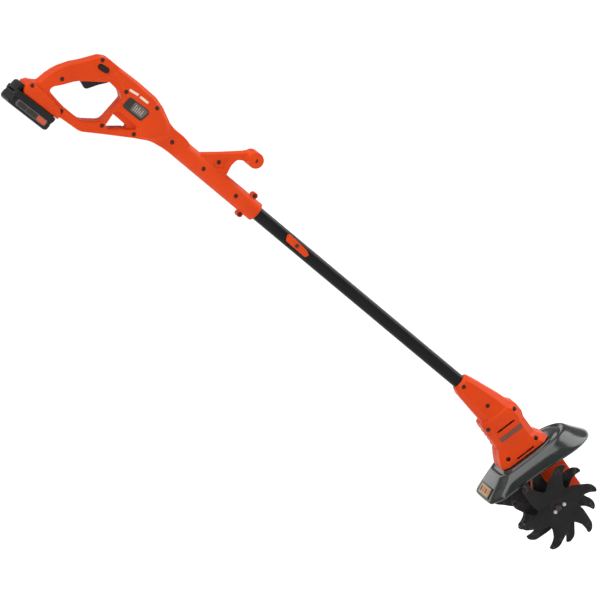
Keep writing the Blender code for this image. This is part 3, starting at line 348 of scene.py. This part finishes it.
def plate(name, outlines, low, high, edge=0.0, segments=3):
    """Outlines in XZ in millimetres, any inside another being a hole, extruded from low to high in Y."""
    curve = bpy.data.curves.new(name, "CURVE")
    curve.dimensions = "2D"
    curve.fill_mode = "BOTH"
    curve.extrude = ((high - low) / 2 - edge) * MM
    curve.bevel_depth = edge * MM
    curve.bevel_resolution = segments
    curve.offset = -edge * MM
    for outline in outlines:
        spline = curve.splines.new("POLY")
        spline.points.add(len(outline) - 1)
        for point, (x, z) in zip(spline.points, outline):
            point.co = (x * MM, z * MM, 0.0, 1.0)
        spline.use_cyclic_u = True
    drawn = new_object(name, curve)
    bpy.context.view_layer.update()
    graph = bpy.context.evaluated_depsgraph_get()
    mesh = bpy.data.meshes.new_from_object(drawn.evaluated_get(graph))
    bpy.data.objects.remove(drawn)
    shape = bmesh.new()
    shape.from_mesh(mesh)
    bmesh.ops.remove_doubles(shape, verts=shape.verts, dist=WELD)
    upright = Matrix.Rotation(math.pi / 2, 4, "X")
    centred = Matrix.Translation((0, (low + high) / 2 * MM, 0))
    bmesh.ops.transform(shape, matrix=centred @ upright, verts=shape.verts)
    shape.to_mesh(mesh)
    shape.free()
    return new_object(name, mesh)


def layer(name, outline, face, depths, edge=0.0, segments=3):
    """A plate whose two faces lie at the given distances from a face."""
    return plate(name, [outline], face + depths[0], face + depths[1], edge, segments)


def rectangle(across, along, radius):
    """The corners of a rectangle between two limits each way, for rounded_corners."""
    (left, right), (bottom, top) = across, along
    return [(left, bottom, radius), (right, bottom, radius), (right, top, radius), (left, top, radius)]


def rounded_corners(corners, steps=6):
    """An outline with a fillet at each (x, z, radius) corner."""
    outline = []
    for index, (x, z, radius) in enumerate(corners):
        here = Vector((x, z))
        before = Vector(corners[index - 1][:2]) - here
        after = Vector(corners[(index + 1) % len(corners)][:2]) - here
        reach = min(radius, before.length * FILLET_SHARE, after.length * FILLET_SHARE)
        start = here + before.normalized() * reach
        end = here + after.normalized() * reach
        for step in range(steps + 1):
            share = step / steps
            point = start.lerp(here, share).lerp(here.lerp(end, share), share)
            outline.append((point.x, point.y))
    return outline


def scaled(corners, factor):
    """An outline's corners drawn towards their middle."""
    count = len(corners)
    middle_x, middle_z = (sum(corner[axis] for corner in corners) / count for axis in (0, 1))
    return [
        (middle_x + (x - middle_x) * factor, middle_z + (z - middle_z) * factor, radius * factor)
        for x, z, radius in corners
    ]


def smooth_loop(points):
    """A closed Catmull-Rom curve through points."""
    loop = []
    for index in range(len(points)):
        a, b, c, d = (Vector(points[(index + shift) % len(points)]) for shift in (-1, 0, 1, 2))
        for step in range(CURVE_STEPS):
            t = step / CURVE_STEPS
            straight = 2 * b + (c - a) * t
            square = (2 * a - 5 * b + 4 * c - d) * t**2
            cube = (3 * b - a - 3 * c + d) * t**3
            point = 0.5 * (straight + square + cube)
            loop.append((point.x, point.y))
    return loop


def turned(name, profile, start, along, sides=64):
    """A solid of revolution: (radius, distance) points in millimetres along an axis from start."""
    shape = bmesh.new()
    rings = []
    for radius, distance in profile:
        ring = []
        for index in range(sides):
            angle = index * math.tau / sides
            ring.append(shape.verts.new((radius * math.cos(angle), radius * math.sin(angle), distance)))
        rings.append(ring)
    join_rings(shape, rings)
    shape.faces.new(list(reversed(rings[0])))
    shape.faces.new(rings[-1])
    turn = Vector(along).to_track_quat("Z", "Y").to_matrix().to_4x4()
    place = Matrix.Translation(Vector(start) * MM) @ turn @ Matrix.Scale(MM, 4)
    bmesh.ops.transform(shape, matrix=place, verts=shape.verts)
    bmesh.ops.recalc_face_normals(shape, faces=shape.faces)
    return new_object(name, mesh_of(name, shape))


def creased(obj, degrees=35.0):
    """Smooth shading everywhere except over edges sharper than an angle."""
    obj.data.shade_smooth()
    shape = bmesh.new()
    shape.from_mesh(obj.data)
    for edge in shape.edges:
        if len(edge.link_faces) == 2 and edge.calc_face_angle() > math.radians(degrees):
            edge.smooth = False
    shape.to_mesh(obj.data)
    shape.free()
    return obj


def block(name, low, high, edge, segments=4):
    """A box between two corners in millimetres, with rounded edges."""
    shape = bmesh.new()
    bmesh.ops.create_cube(shape, size=1.0)
    bmesh.ops.scale(shape, vec=Vector(high) - Vector(low), verts=shape.verts)
    bmesh.ops.translate(shape, vec=(Vector(high) + Vector(low)) / 2, verts=shape.verts)
    bmesh.ops.bevel(
        shape, geom=shape.edges, offset=edge, segments=segments, profile=ROUND_PROFILE, affect="EDGES"
    )
    bmesh.ops.scale(shape, vec=(MM, MM, MM), verts=shape.verts)
    mesh = mesh_of(name, shape)
    mesh.shade_smooth()
    return new_object(name, mesh)


def tilted(obj, angle):
    obj.data.transform(Matrix.Rotation(angle, 4, "Y"))
    return obj


# ----------------------------------------------------------------- handle

# The steps between the shell's thick and thin parts, as (x, z) points: round the body, and at the rear.
BODY_STEP = [
    (60, -46), (73, -44), (84.5, -86), (93, -128), (92, -148), (86, -182),
    (70, -196), (50, -184), (31, -161), (43, -148), (41, -104), (53, -92),
]  # fmt: skip
REAR_STEP = [(-61, 29), (-54, 6), (-50.5, -20), (-49, -40), (-58, -48.5)]
# A ramp is at full weight near a step and ends STEP_FULL times STEP_REACH away from it.
STEP_REACH = 11.0
STEP_FULL = 1.4
# Ramps are made on the outside only, which is past this distance from the middle plane.
STEP_FACE = 14.6
STEP_PASSES = 130
# The radius round each screw that stays flat.
SCREW_KEEP = 6.5
KNOB = (171.5, -321.7)
ARM_END = (163.0, -305.5)
# Share of the way from the arm's end to the knob, half width across and depth outwards.
FLARE_RINGS = [(-0.1, 6.0, 9.5), (0.15, 7.5, 11.6), (0.45, 9.5, 16.6), (0.7, 11.5, 19.4), (1.0, 12.4, 19.6)]
# The ramp's inner face's distance from the middle plane, and the width of its bevelled edges.
FLARE_ROOT = 1.0
FLARE_EDGE = 2.5
SHELL_VOXEL = 0.85


def distance_to(points, line, closed):
    """Each (x, z) point's distance to a broken line."""
    ends = line[1:] + line[:1] if closed else line[1:]
    nearest = np.full(len(points), np.inf)
    for start, end in zip(line, ends):
        start, along = np.array(start), np.array(end) - np.array(start)
        share = np.clip((points - start) @ along / (along @ along), 0, 1)
        nearest = np.minimum(nearest, np.linalg.norm(points - start - share[:, None] * along, axis=1))
    return nearest


def blend_steps(obj, screws):
    """Melts the steps between the thick and the thin parts of a shell into gentle ramps."""
    points = np.array([vertex.co for vertex in obj.data.vertices]) / MM
    flat = points[:, [0, 2]]
    near = np.minimum(distance_to(flat, BODY_STEP, True), distance_to(flat, REAR_STEP, False))
    weight = np.clip(STEP_FULL - near / STEP_REACH, 0, 1) * (np.abs(points[:, 1]) > STEP_FACE)
    for screw in screws:
        weight *= np.linalg.norm(flat - np.array(screw), axis=1) > SCREW_KEEP
    group = obj.vertex_groups.new(name="steps")
    for index in np.flatnonzero(weight):
        group.add([int(index)], float(weight[index]), "REPLACE")
    ramp = obj.modifiers.new("ramp", "SMOOTH")
    ramp.factor = SMOOTHING
    ramp.iterations = STEP_PASSES
    ramp.vertex_group = group.name
    ramp.use_x = ramp.use_z = False
    return baked(obj)


def knob_flare(side):
    """The ramp that widens the hook's arm out to its round knob, on one side."""
    knob, arm = Vector(KNOB), Vector(ARM_END)
    along = (knob - arm).normalized()
    across = Vector((-along.y, along.x))
    shape = bmesh.new()
    rings = []
    for share, half, depth in FLARE_RINGS:
        middle = arm.lerp(knob, share)
        near_side = [(half, FLARE_ROOT), (half, depth - FLARE_EDGE), (half - FLARE_EDGE, depth)]
        far_side = [(-offset, y) for offset, y in reversed(near_side)]
        ring = []
        for offset, y in far_side[-1:] + near_side + far_side[:-1]:
            place = middle + across * offset
            ring.append(shape.verts.new((place.x * MM, side * y * MM, place.y * MM)))
        rings.append(ring)
    join_rings(shape, rings)
    shape.faces.new(rings[0])
    shape.faces.new(rings[-1])
    bmesh.ops.recalc_face_normals(shape, faces=shape.faces)
    return new_object("flare", mesh_of("flare", shape))


def screw_places(prefix, count):
    """Where the CAD screws are: name, axis (x, z) and the head's outer face, in millimetres."""
    places = []
    for index in range(count):
        name = f"{prefix}_{index + 1:02d}"
        low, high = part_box(name)
        places.append((name, ((low.x + high.x) / 2 / MM, (low.z + high.z) / 2 / MM), low.y / MM))
    return places


def make_handle(screws):
    centres = [place for _, place, _ in screws]
    for side, word in SIDES:
        node = f"handle_shell_{word}"
        shell = remeshed(solid_of(f"handle_skin_{word}", [node], [knob_flare(side)]), SHELL_VOXEL, 4)
        blend_steps(shell, centres)
        soften = shell.modifiers.new("soften", "SMOOTH")
        soften.iterations = 2
        dressed(thinned(baked(shell), 0.4), ROOT, "shell_orange", replaced=[node])


HEAD_RADIUS = 3.5
# The head from its underside to its face, as (distance in from its rim, depth) points.
HEAD_PROFILE = [(1.0, 2.1), (0.0, 1.9), (0.0, 1.1), (0.35, 0.45), (0.9, 0.12), (1.5, 0.0)]
# The socket from its mouth to its floor: radius, depth and how far its lobes reach.
SOCKET_PROFILE = [(1.45, 0.0, 0.22), (1.32, 0.12, 0.22), (1.25, 1.2, 0.2)]
SOCKET_POINTS = 6
SIDES_PER_POINT = 8
# The turn from each screw to the next, in radians.
SCREW_TURN = 0.7


def screw_mesh():
    """A pan-head screw's head with a six-lobe socket, facing -Z, its outer face at zero."""
    shape = bmesh.new()
    sides = SOCKET_POINTS * SIDES_PER_POINT
    head = [(HEAD_RADIUS - inward, depth, 0.0) for inward, depth in HEAD_PROFILE]
    loops = []
    for radius, depth, lobe in head + SOCKET_PROFILE:
        loop = []
        for index in range(sides):
            angle = index * math.tau / sides
            reach = radius + lobe * math.cos(angle * SOCKET_POINTS)
            loop.append(shape.verts.new((reach * math.cos(angle), reach * math.sin(angle), depth)))
        loops.append(loop)
    join_rings(shape, loops)
    shape.faces.new(list(reversed(loops[0])))
    shape.faces.new(loops[-1])
    bmesh.ops.recalc_face_normals(shape, faces=shape.faces)
    return mesh_of("screw_head", shape)


def make_screws(screws):
    """Fine heads in place of the CAD screws, each turned on from the one before."""
    pattern = screw_mesh()
    for index, (name, (x, z), outer) in enumerate(screws):
        head = new_object(name + "_head", pattern.copy())
        spin = Matrix.Rotation(index * SCREW_TURN, 4, "Z")
        face = Matrix.Rotation(-math.pi / 2, 4, "X")
        place = Matrix.Translation(Vector((x, outer, z)) * MM)
        head.data.transform(place @ face @ spin @ Matrix.Scale(MM, 4))
        creased(head)
        dressed(head, ROOT, "screw_steel", replaced=[name])


# The label's corners, and its panel's, as (x, z, fillet radius).
LABEL = [(60.5, -95, 4), (72.5, -134, 4), (70, -140.5, 3), (50, -141.5, 4), (39.8, -103, 4), (43, -98, 3)]
LABEL_SHARE = 0.98
LABEL_FACE = -21.05
LABEL_PANEL = [
    (47.0, -113.0, 2.5), (62.5, -108.0, 2.5), (70.0, -132.0, 2.5), (68.0, -137.0, 2), (53.5, -137.6, 3),
]  # fmt: skip
# The outer and inner faces of each printed layer, from the label's face.
LABEL_LAYER = (-0.1, 1.0)
PANEL_LAYER = (-0.2, 0.3)
ROW_LAYER = (-0.28, 0.0)
BAR_LAYER = (-0.1, 0.7)
# Rows run from one line down the panel to another, each to its own share of the width.
ROWS_LEFT = (Vector((49.0, -114.5)), Vector((55.5, -135.0)))
ROWS_RIGHT = (Vector((61.5, -110.8)), Vector((67.8, -132.0)))
ROW_START = 0.06
ROW_REACHES = (0.96, 0.72, 0.90, 0.60, 0.84)
ROW_HALF = 0.75
# The first row's distance down the panel and the panel's length, in rows.
FIRST_ROW = 0.8
PANEL_ROWS = 5.6
BARS = [((66.6, -84.7), (73.4, -101.5)), ((74.1, -105.7), (79.0, -123.4))]
BAR_HALF = 2.1


def strip(start, end, half):
    """The four corners of a bar along a line."""
    start, end = Vector(start), Vector(end)
    along = (end - start).normalized()
    across = Vector((-along.y, along.x)) * half
    return [tuple(corner) for corner in (start - across, end - across, end + across, start + across)]


def make_labels():
    outline = rounded_corners(scaled(LABEL, LABEL_SHARE))
    dark = layer("rating_label_plate", outline, LABEL_FACE, LABEL_LAYER, 0.25)
    dressed(creased(dark), ROOT, "label_plate", DARK_LABEL, ["rating_label"])
    pale = layer("rating_label_panel", rounded_corners(LABEL_PANEL), LABEL_FACE, PANEL_LAYER, 0.05, 1)
    dressed(pale, ROOT, "label_plate", LABEL_GREY)
    for row, reach in enumerate(ROW_REACHES):
        share = (row + FIRST_ROW) / PANEL_ROWS
        left = ROWS_LEFT[0].lerp(ROWS_LEFT[1], share)
        right = ROWS_RIGHT[0].lerp(ROWS_RIGHT[1], share)
        outline = strip(left.lerp(right, ROW_START), left.lerp(right, reach), ROW_HALF)
        line = layer(f"rating_label_line_{row}", outline, LABEL_FACE, ROW_LAYER)
        dressed(line, ROOT, "label_plate", LABEL_LINE)
    for index, (start, end) in enumerate(BARS):
        bar = layer(f"pale_bar_{index + 1}", strip(start, end, BAR_HALF), LABEL_FACE, BAR_LAYER)
        dressed(bar, ROOT, "label_plate", PALE_PRINT)


# --------------------------------------------------------------- battery

BATTERY_TILT = math.radians(-15.8)
BATTERY_HALF = 32.0
LATCH_HALF = 21.5
# The latch's outline across the rails and along them.
LATCH = [(-79.0, 52.4, 1), (-60.5, 52.4, 3.5), (-62.5, 60.0, 7), (-70.0, 61.6, 5), (-79.0, 61.6, 1)]
# Two corners of a block that fills the gap between case and cover, so that they remesh as one skin.
SEAM_LOW = (-86.5, -30.8, -23.8)
SEAM_HIGH = (-80.6, 30.8, 59.8)
BATTERY_VOXEL = 0.8
BATTERY_PASSES = 14
INSET_ACROSS = (-97.3, -85.6)
INSET_ALONG = (-16.3, 50.3)
INSET_LAYER = (-0.15, 1.0)
TILE_ACROSS = (-95.6, -87.2)
TILE_LAYER = (-0.35, 0.1)
# Each tile's limits along the battery, and its material.
TILES = (((28.0, 46.5), DARK_LABEL), ((5.0, 26.4), DARK_LABEL), ((-14.0, 3.4), ORANGE_PRINT))


def make_battery():
    seam = tilted(block("seam", SEAM_LOW, SEAM_HIGH, 1.0), BATTERY_TILT)
    cased = ["battery_case", "battery_cover"]
    moulding("battery_skin", cased, "battery", "black_plastic", BATTERY_VOXEL, BATTERY_PASSES, extras=[seam])
    latch = plate("battery_latch_skin", [rounded_corners(LATCH)], -LATCH_HALF, LATCH_HALF, 2.6, 4)
    dressed(tilted(latch, BATTERY_TILT), "battery_latch", "black_plastic", replaced=["battery_latch"])
    inset = rounded_corners(rectangle(INSET_ACROSS, INSET_ALONG, 4))
    panel = layer("battery_inset", inset, -BATTERY_HALF, INSET_LAYER, 0.3)
    dressed(tilted(panel, BATTERY_TILT), "battery", "label_plate", GREY_INSET, ["battery_badge"])
    for index, (along, material) in enumerate(TILES):
        outline = rounded_corners(rectangle(TILE_ACROSS, along, 1.5))
        tile = layer(f"battery_tile_{index + 1}", outline, -BATTERY_HALF, TILE_LAYER, 0.1, 1)
        dressed(tilted(tile, BATTERY_TILT), "battery", "label_plate", material)


# ---------------------------------------------------------- shaft and head


TUBE_RADIUS = 12.0
TUBE_BORE = 10.6
TUBE_EDGE = 0.5
# Each tube's lower and upper end, as distances along the shaft.
TUBES = (("upper_tube", -497.15, -345.0), ("lower_tube", -930.0, -497.45))


def make_tubes():
    end = [(TUBE_BORE, 0.0), (TUBE_RADIUS - TUBE_EDGE, 0.0), (TUBE_RADIUS, TUBE_EDGE)]
    along = to_world(SHAFT_TILT, 0, 0, 1 / MM)
    for node, low_station, high_station in TUBES:
        length = high_station - low_station
        profile = end + [(radius, length - distance) for radius, distance in reversed(end)]
        start = to_world(SHAFT_TILT, TUBE_X, 0, low_station) / MM
        outer = turned(node + "_skin", profile, start, along, 96)
        dressed(creased(outer), ROOT, "tube_paint", replaced=[node])


# The vent's insert and the slats on it. Layers are distances from the middle plane.
VENT_X = (233.4, 278.6)
VENT_Z = (-987.6, -978.9)
VENT_LAYER = (31.8, 32.5)
SLAT_X = (234.5, 277.5)
SLAT_LAYER = (32.4, 32.9)
SLAT_COUNT = 4
FIRST_SLAT = -986.3
SLAT_PITCH = 2.15
SLAT_HALF = 0.5


def make_housing():
    for _, word in SIDES:
        moulding(f"motor_housing_skin_{word}", [f"motor_housing_{word}"], ROOT, "shell_orange", 0.8, 3, 0.4)
        moulding(f"gearbox_skin_{word}", [f"gearbox_case_{word}"], ROOT, "shell_orange", 1.0, 4, 0.4)
    for side, word in SIDES:
        low, high = sorted(side * depth for depth in VENT_LAYER)
        backing = plate(f"vent_insert_{word}", [rounded_corners(rectangle(VENT_X, VENT_Z, 1))], low, high)
        dressed(backing, ROOT, "grey_plastic", VENT_BROWN)
        low, high = sorted(side * depth for depth in SLAT_LAYER)
        for row in range(SLAT_COUNT):
            z = FIRST_SLAT + row * SLAT_PITCH
            bar = strip((SLAT_X[0], z), (SLAT_X[1], z), SLAT_HALF)
            slat = plate(f"vent_slat_{word}_{row + 1}", [bar], low, high)
            dressed(slat, ROOT, "grey_plastic", VENT_BROWN)


# Levels of the guard, from the rim up the outside and back down the inside. Each holds its rear x, the end
# of its straight sides, its front x, half its width, its rear corners' cut and its z.
GUARD_RINGS = [
    (157.5, 297.0, 363.0, 66.5, 22.0, -1059.6), (154.4, 298.0, 366.4, 69.3, 23.0, -1060.0),
    (153.6, 298.0, 367.0, 70.0, 23.0, -1059.2), (153.8, 298.0, 367.0, 70.0, 23.0, -1056.2),
    (156.0, 296.0, 366.0, 69.2, 23.0, -1053.9), (166.0, 291.0, 361.0, 66.3, 22.5, -1048.4),
    (176.0, 286.5, 356.2, 63.2, 22.0, -1043.6), (182.5, 283.0, 351.5, 60.4, 21.4, -1040.9),
    (189.0, 279.0, 346.0, 57.0, 20.4, -1037.6), (193.0, 276.5, 342.5, 54.6, 19.6, -1035.3),
    (195.6, 274.5, 339.6, 52.8, 19.0, -1034.3), (198.6, 272.0, 336.4, 50.8, 18.2, -1034.3),
    (200.6, 270.0, 334.0, 49.4, 17.6, -1035.4), (202.6, 268.0, 331.4, 47.8, 17.0, -1036.2),
    (204.8, 266.5, 328.4, 46.0, 16.4, -1035.4), (206.6, 265.0, 326.0, 44.6, 16.0, -1033.0),
    (209.2, 264.0, 323.4, 42.8, 15.4, -1031.7), (262.0, 284.0, 290.5, 12.5, 2.0, -1031.5),
    (262.0, 284.0, 290.5, 12.5, 2.0, -1034.5), (209.2, 264.0, 321.0, 40.8, 15.4, -1034.7),
    (204.0, 267.0, 327.0, 46.0, 16.6, -1038.6), (193.0, 276.0, 338.5, 52.6, 19.0, -1039.4),
    (181.0, 283.0, 350.5, 60.4, 21.4, -1045.4), (158.0, 297.0, 363.0, 66.5, 22.0, -1057.0),
]
FRONT_POINTS = 41
SIDE_POINTS = 7
# Where a rear corner's cut has its points, as shares of it.
CUT_POINTS = (0.0, 0.12, 0.5, 0.88)
GUARD_TOP = -1031.5
# How far the front of the rim dips, the x where the dip starts and its reach from there, how far below the
# top it is full, and the power that curves it.
FRONT_DIP = 15.0
DIP_START = 230.0
DIP_REACH = 134.0
DIP_DEPTH = 11.5
DIP_CURVE = 1.8


def guard_ring(rear, side_end, front, half, corner, z):
    """One level of the guard: a flat rear edge, cut corners, straight sides and an elliptic front."""
    side_start = rear + corner
    near_side = []
    for share in CUT_POINTS:
        near_side.append((rear + corner * share, corner * (1 - share) - half))
    for index in range(SIDE_POINTS):
        near_side.append((side_start + (side_end - side_start) * index / SIDE_POINTS, -half))
    front_side = []
    for step in range(FRONT_POINTS):
        angle = math.pi * (step / (FRONT_POINTS - 1) - 0.5)
        front_side.append((side_end + (front - side_end) * math.cos(angle), half * math.sin(angle)))
    plan = near_side + front_side + [(x, -y) for x, y in reversed(near_side)]
    points = []
    for x, y in plan:
        share = max(0.0, (x - DIP_START) / DIP_REACH) ** DIP_CURVE
        dip = FRONT_DIP * share * min(1.0, max(0.0, GUARD_TOP - z) / DIP_DEPTH)
        points.append((x * MM, y * MM, (z - dip) * MM))
    return points


def make_guard():
    shape = bmesh.new()
    rings = [[shape.verts.new(point) for point in guard_ring(*row)] for row in GUARD_RINGS]
    join_rings(shape, rings + rings[:1])
    bmesh.ops.recalc_face_normals(shape, faces=shape.faces)
    guard = new_object("guard_shell", mesh_of("guard_shell", shape))
    finer = guard.modifiers.new("finer", "SUBSURF")
    finer.levels = finer.render_levels = 1
    dressed(baked(guard), ROOT, "guard_plastic", replaced=["guard"])


BADGE_SLOPE = math.atan2(12.0, 23.0)
BADGE_UNDERSIDE = -0.4
# Each layer's name, length, width, height over the CAD badge's middle, material and replaced nodes.
BADGE_LAYERS = (
    ("guard_badge_plate", 21.0, 66.0, 0.6, DARK_LABEL, ["guard_badge"]),
    ("guard_badge_panel", 16.0, 56.0, 0.85, BADGE_PALE, []),
)
MARK_COUNT = 4
FIRST_MARK = -19.5
MARK_PITCH = 13.0
MARK_HALF_LENGTH = 4.4
MARK_HALF_WIDTH = 4.0
MARK_LAYER = (0.5, 1.05)


def make_guard_badge():
    low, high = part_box("guard_badge")
    lay = Matrix.Translation((low + high) / 2) @ Matrix.Rotation(-BADGE_SLOPE, 4, "Y")
    for name, length, width, top, material, replaced in BADGE_LAYERS:
        corner = (length / 2, width / 2, top)
        badge = block(name, (-length / 2, -width / 2, BADGE_UNDERSIDE), corner, 0.35, 3)
        badge.data.transform(lay)
        dressed(badge, ROOT, "label_plate", material, replaced)
    for index in range(MARK_COUNT):
        y = FIRST_MARK + index * MARK_PITCH
        near = (-MARK_HALF_LENGTH, y - MARK_HALF_WIDTH, MARK_LAYER[0])
        far = (MARK_HALF_LENGTH, y + MARK_HALF_WIDTH, MARK_LAYER[1])
        mark = block(f"guard_badge_mark_{index + 1}", near, far, 0.2, 2)
        mark.data.transform(lay)
        dressed(mark, ROOT, "label_plate", DARK_LABEL if index % 2 else ORANGE_PRINT)


# ------------------------------------------------------------ tine wheels

# One tine's outline, as a radius in millimetres and an angle in degrees from its tip's turn.
TINE = [
    (35.5, -14.0), (36.0, -9.0), (40.5, -3.5), (47.5, 0.5), (55.0, 2.0), (64.0, 0.5), (72.0, -1.5),
    (74.0, 3.0), (71.5, 8.5), (67.0, 13.5), (60.0, 18.0), (52.5, 24.5), (45.0, 33.0), (38.0, 41.5),
]  # fmt: skip
TINE_COUNT = 6
# Name, distance from the middle plane, turn in degrees on the right and on the left, bore radius.
WHEELS = (("inner", 58.0, (16.0, 32.0), 11.3), ("outer", 85.0, (46.0, 38.0), 5.3))
# The cap over the axle's end, as (radius, distance) points.
AXLE_CAP = [(5.7, 0.0), (5.7, 3.6), (5.3, 4.7), (4.2, 5.4), (2.4, 5.7), (0.4, 5.8)]
HUB_PINS = [(254.0, -1124.0), (234.0, -1125.5)]
WHEEL_HALF = 2.0
BORE_SIDES = 48
# Distances from the middle plane: the outer wheel's outer face, and the foot of the pins and the cap.
WHEEL_FACE = 87.0
PIN_FOOT = 87.1
# The boss round the axle and the pins beside it, as (radius, distance) points.
BOSS_PROFILE = [(9.0, 0.0), (17.0, 0.0), (17.0, 0.6), (16.4, 1.2), (9.0, 1.2)]
PIN_PROFILE = [(0.4, 0.0), (3.6, 0.0), (3.6, 1.6), (3.1, 2.4), (1.6, 2.9), (0.4, 3.0)]


def around_axle(radius, angle):
    return (AXLE[0] + radius * math.cos(angle), AXLE[1] + radius * math.sin(angle))


def tine_wheel(phase):
    """A wheel's outline, its first tine turned by phase degrees."""
    points = []
    for index in range(TINE_COUNT):
        tip = math.radians(phase) + index * math.tau / TINE_COUNT
        points += [around_axle(radius, tip + math.radians(degrees)) for radius, degrees in TINE]
    return smooth_loop(points)


def bore_circle(radius):
    return [around_axle(radius, index * math.tau / BORE_SIDES) for index in range(BORE_SIDES)]


def make_tines():
    for row, (side, word) in enumerate(SIDES):
        body = f"{word}_tines"
        for name, place, phases, bore in WHEELS:
            outlines = [tine_wheel(phases[row]), bore_circle(bore)]
            low, high = side * place - WHEEL_HALF, side * place + WHEEL_HALF
            wheel = plate(f"{name}_wheel_{word}", outlines, low, high, 0.7, 2)
            dressed(creased(wheel, 50), body, "tine_steel", replaced=[f"{name}_tines_{word}"])
        outward = Vector((0, side, 0))
        boss = turned(f"wheel_boss_{word}", BOSS_PROFILE, (AXLE[0], side * WHEEL_FACE, AXLE[1]), outward)
        dressed(creased(boss), body, "tine_steel")
        for index, (x, z) in enumerate(HUB_PINS):
            foot = (x, side * PIN_FOOT, z)
            pin = turned(f"hub_pin_{word}_{index + 1}", PIN_PROFILE, foot, outward, 32)
            dressed(creased(pin), body, "bare_steel", ZINC)
        cap = turned(f"axle_cap_{word}", AXLE_CAP, (AXLE[0], side * PIN_FOOT, AXLE[1]), outward, 48)
        dressed(creased(cap), body, "screw_steel", replaced=[f"axle_nut_{word}"])
        moulding(f"hub_skin_{word}", [f"tine_hub_{word}"], body, "black_plastic", 0.8, 3, 0.4)


# ------------------------------------------------------- stage and camera

VIEW_AIM = Vector((0.0965, 0.0, -0.574))
VIEW_AZIMUTH = math.radians(-5.0)
VIEW_ELEVATION = math.radians(18.5)
VIEW_ROLL = math.radians(35.5)
# A very long lens, so that the view is almost a parallel one.
LENS = 1200.0
SENSOR = 36.0
VIEW_WIDTH = 1.02
CLIP_END = 200.0
FLOOR_Z = -1.42
FLOOR_RADIUS = 30.0
FLOOR_PALE = (0.93, 0.93, 0.93)
FLOOR_SHADE = (0.90, 0.90, 0.90)
WORLD_LIGHT = 0.24
HEAD_AIM = Vector((0.17, 0.0, -1.05))
# Each area light's name, place, size, power and aim.
AREA_LIGHTS = (
    ("key", (-1.6, -3.0, 1.2), (1.6, 1.6), 50.0, VIEW_AIM),
    ("edge", (3.1, 0.45, 0.05), (2.0, 3.0), 62.0, VIEW_AIM),
    ("far", (-0.45, 3.0, -0.15), (2.2, 1.2), 8.0, HEAD_AIM),
)
SUN_POWER = 2.65
SUN_SPREAD = math.radians(70)


def make_camera():
    azimuth, elevation = VIEW_AZIMUTH, VIEW_ELEVATION
    level = Vector((math.cos(azimuth), math.sin(azimuth), 0.0))
    lean = math.sin(elevation)
    upward = Vector((-math.sin(azimuth) * lean, math.cos(azimuth) * lean, math.cos(elevation)))
    back = level.cross(upward)
    right = math.cos(VIEW_ROLL) * level - math.sin(VIEW_ROLL) * upward
    top = math.sin(VIEW_ROLL) * level + math.cos(VIEW_ROLL) * upward
    data = bpy.data.cameras.new("camera")
    data.lens = LENS
    data.sensor_width = SENSOR
    data.clip_end = CLIP_END
    camera = new_object("camera", data)
    turn = Matrix((right, top, back)).transposed().to_4x4()
    camera.matrix_world = Matrix.Translation(VIEW_AIM + back * VIEW_WIDTH * LENS / SENSOR) @ turn
    bpy.context.scene.camera = camera


def area_light(name, place, size, power, aim):
    data = bpy.data.lights.new(name, "AREA")
    data.shape = "RECTANGLE"
    data.size, data.size_y = size
    data.energy = power
    light = new_object(name, data)
    light.location = place
    light.rotation_mode = "QUATERNION"
    light.rotation_quaternion = (Vector(place) - aim).to_track_quat("Z", "Y")
    light.visible_camera = False


def make_floor():
    shape = bmesh.new()
    bmesh.ops.create_circle(shape, cap_ends=True, segments=96, radius=FLOOR_RADIUS)
    bmesh.ops.translate(shape, vec=(0, 0, FLOOR_Z), verts=shape.verts)
    floor = new_object("floor", mesh_of("floor", shape))
    paint = Paint("floor_pale", 0.9, specular=0.1)
    paint.colour(paint.mix(paint.spread(paint.noise(1.5), 0.0, 1.0), FLOOR_PALE, FLOOR_SHADE))
    floor.data.materials.append(paint.material)


def make_lights():
    world = bpy.data.worlds.new("studio")
    world.use_nodes = True
    background = world.node_tree.nodes["Background"]
    background.inputs["Color"].default_value = (1.0, 1.0, 1.0, 1.0)
    background.inputs["Strength"].default_value = WORLD_LIGHT
    bpy.context.scene.world = world
    bpy.context.scene.view_settings.view_transform = "Standard"
    for row in AREA_LIGHTS:
        area_light(*row)
    overhead = bpy.data.lights.new("overhead", "SUN")
    overhead.energy = SUN_POWER
    overhead.angle = SUN_SPREAD
    new_object("overhead", overhead)


# ------------------------------------------------------------------ build


def finish_cad_nodes():
    """Gives every CAD node the material of its slot. Those not replaced later still show."""
    slots = {row["node"]: row["material_slot"] for row in frame["record"]["subparts"]}
    for name, node in frame["nodes"].items():
        node.data.materials.clear()
        node.data.materials.append(FINISHES[slots[name]])


finish_cad_nodes()
make_camera()
make_floor()
make_lights()
HANDLE_SCREWS = screw_places("handle_screw", 15)
make_handle(HANDLE_SCREWS)
make_screws(HANDLE_SCREWS + screw_places("housing_screw", 6))
make_labels()
make_battery()
make_tubes()
make_housing()
make_guard()
make_guard_badge()
make_tines()
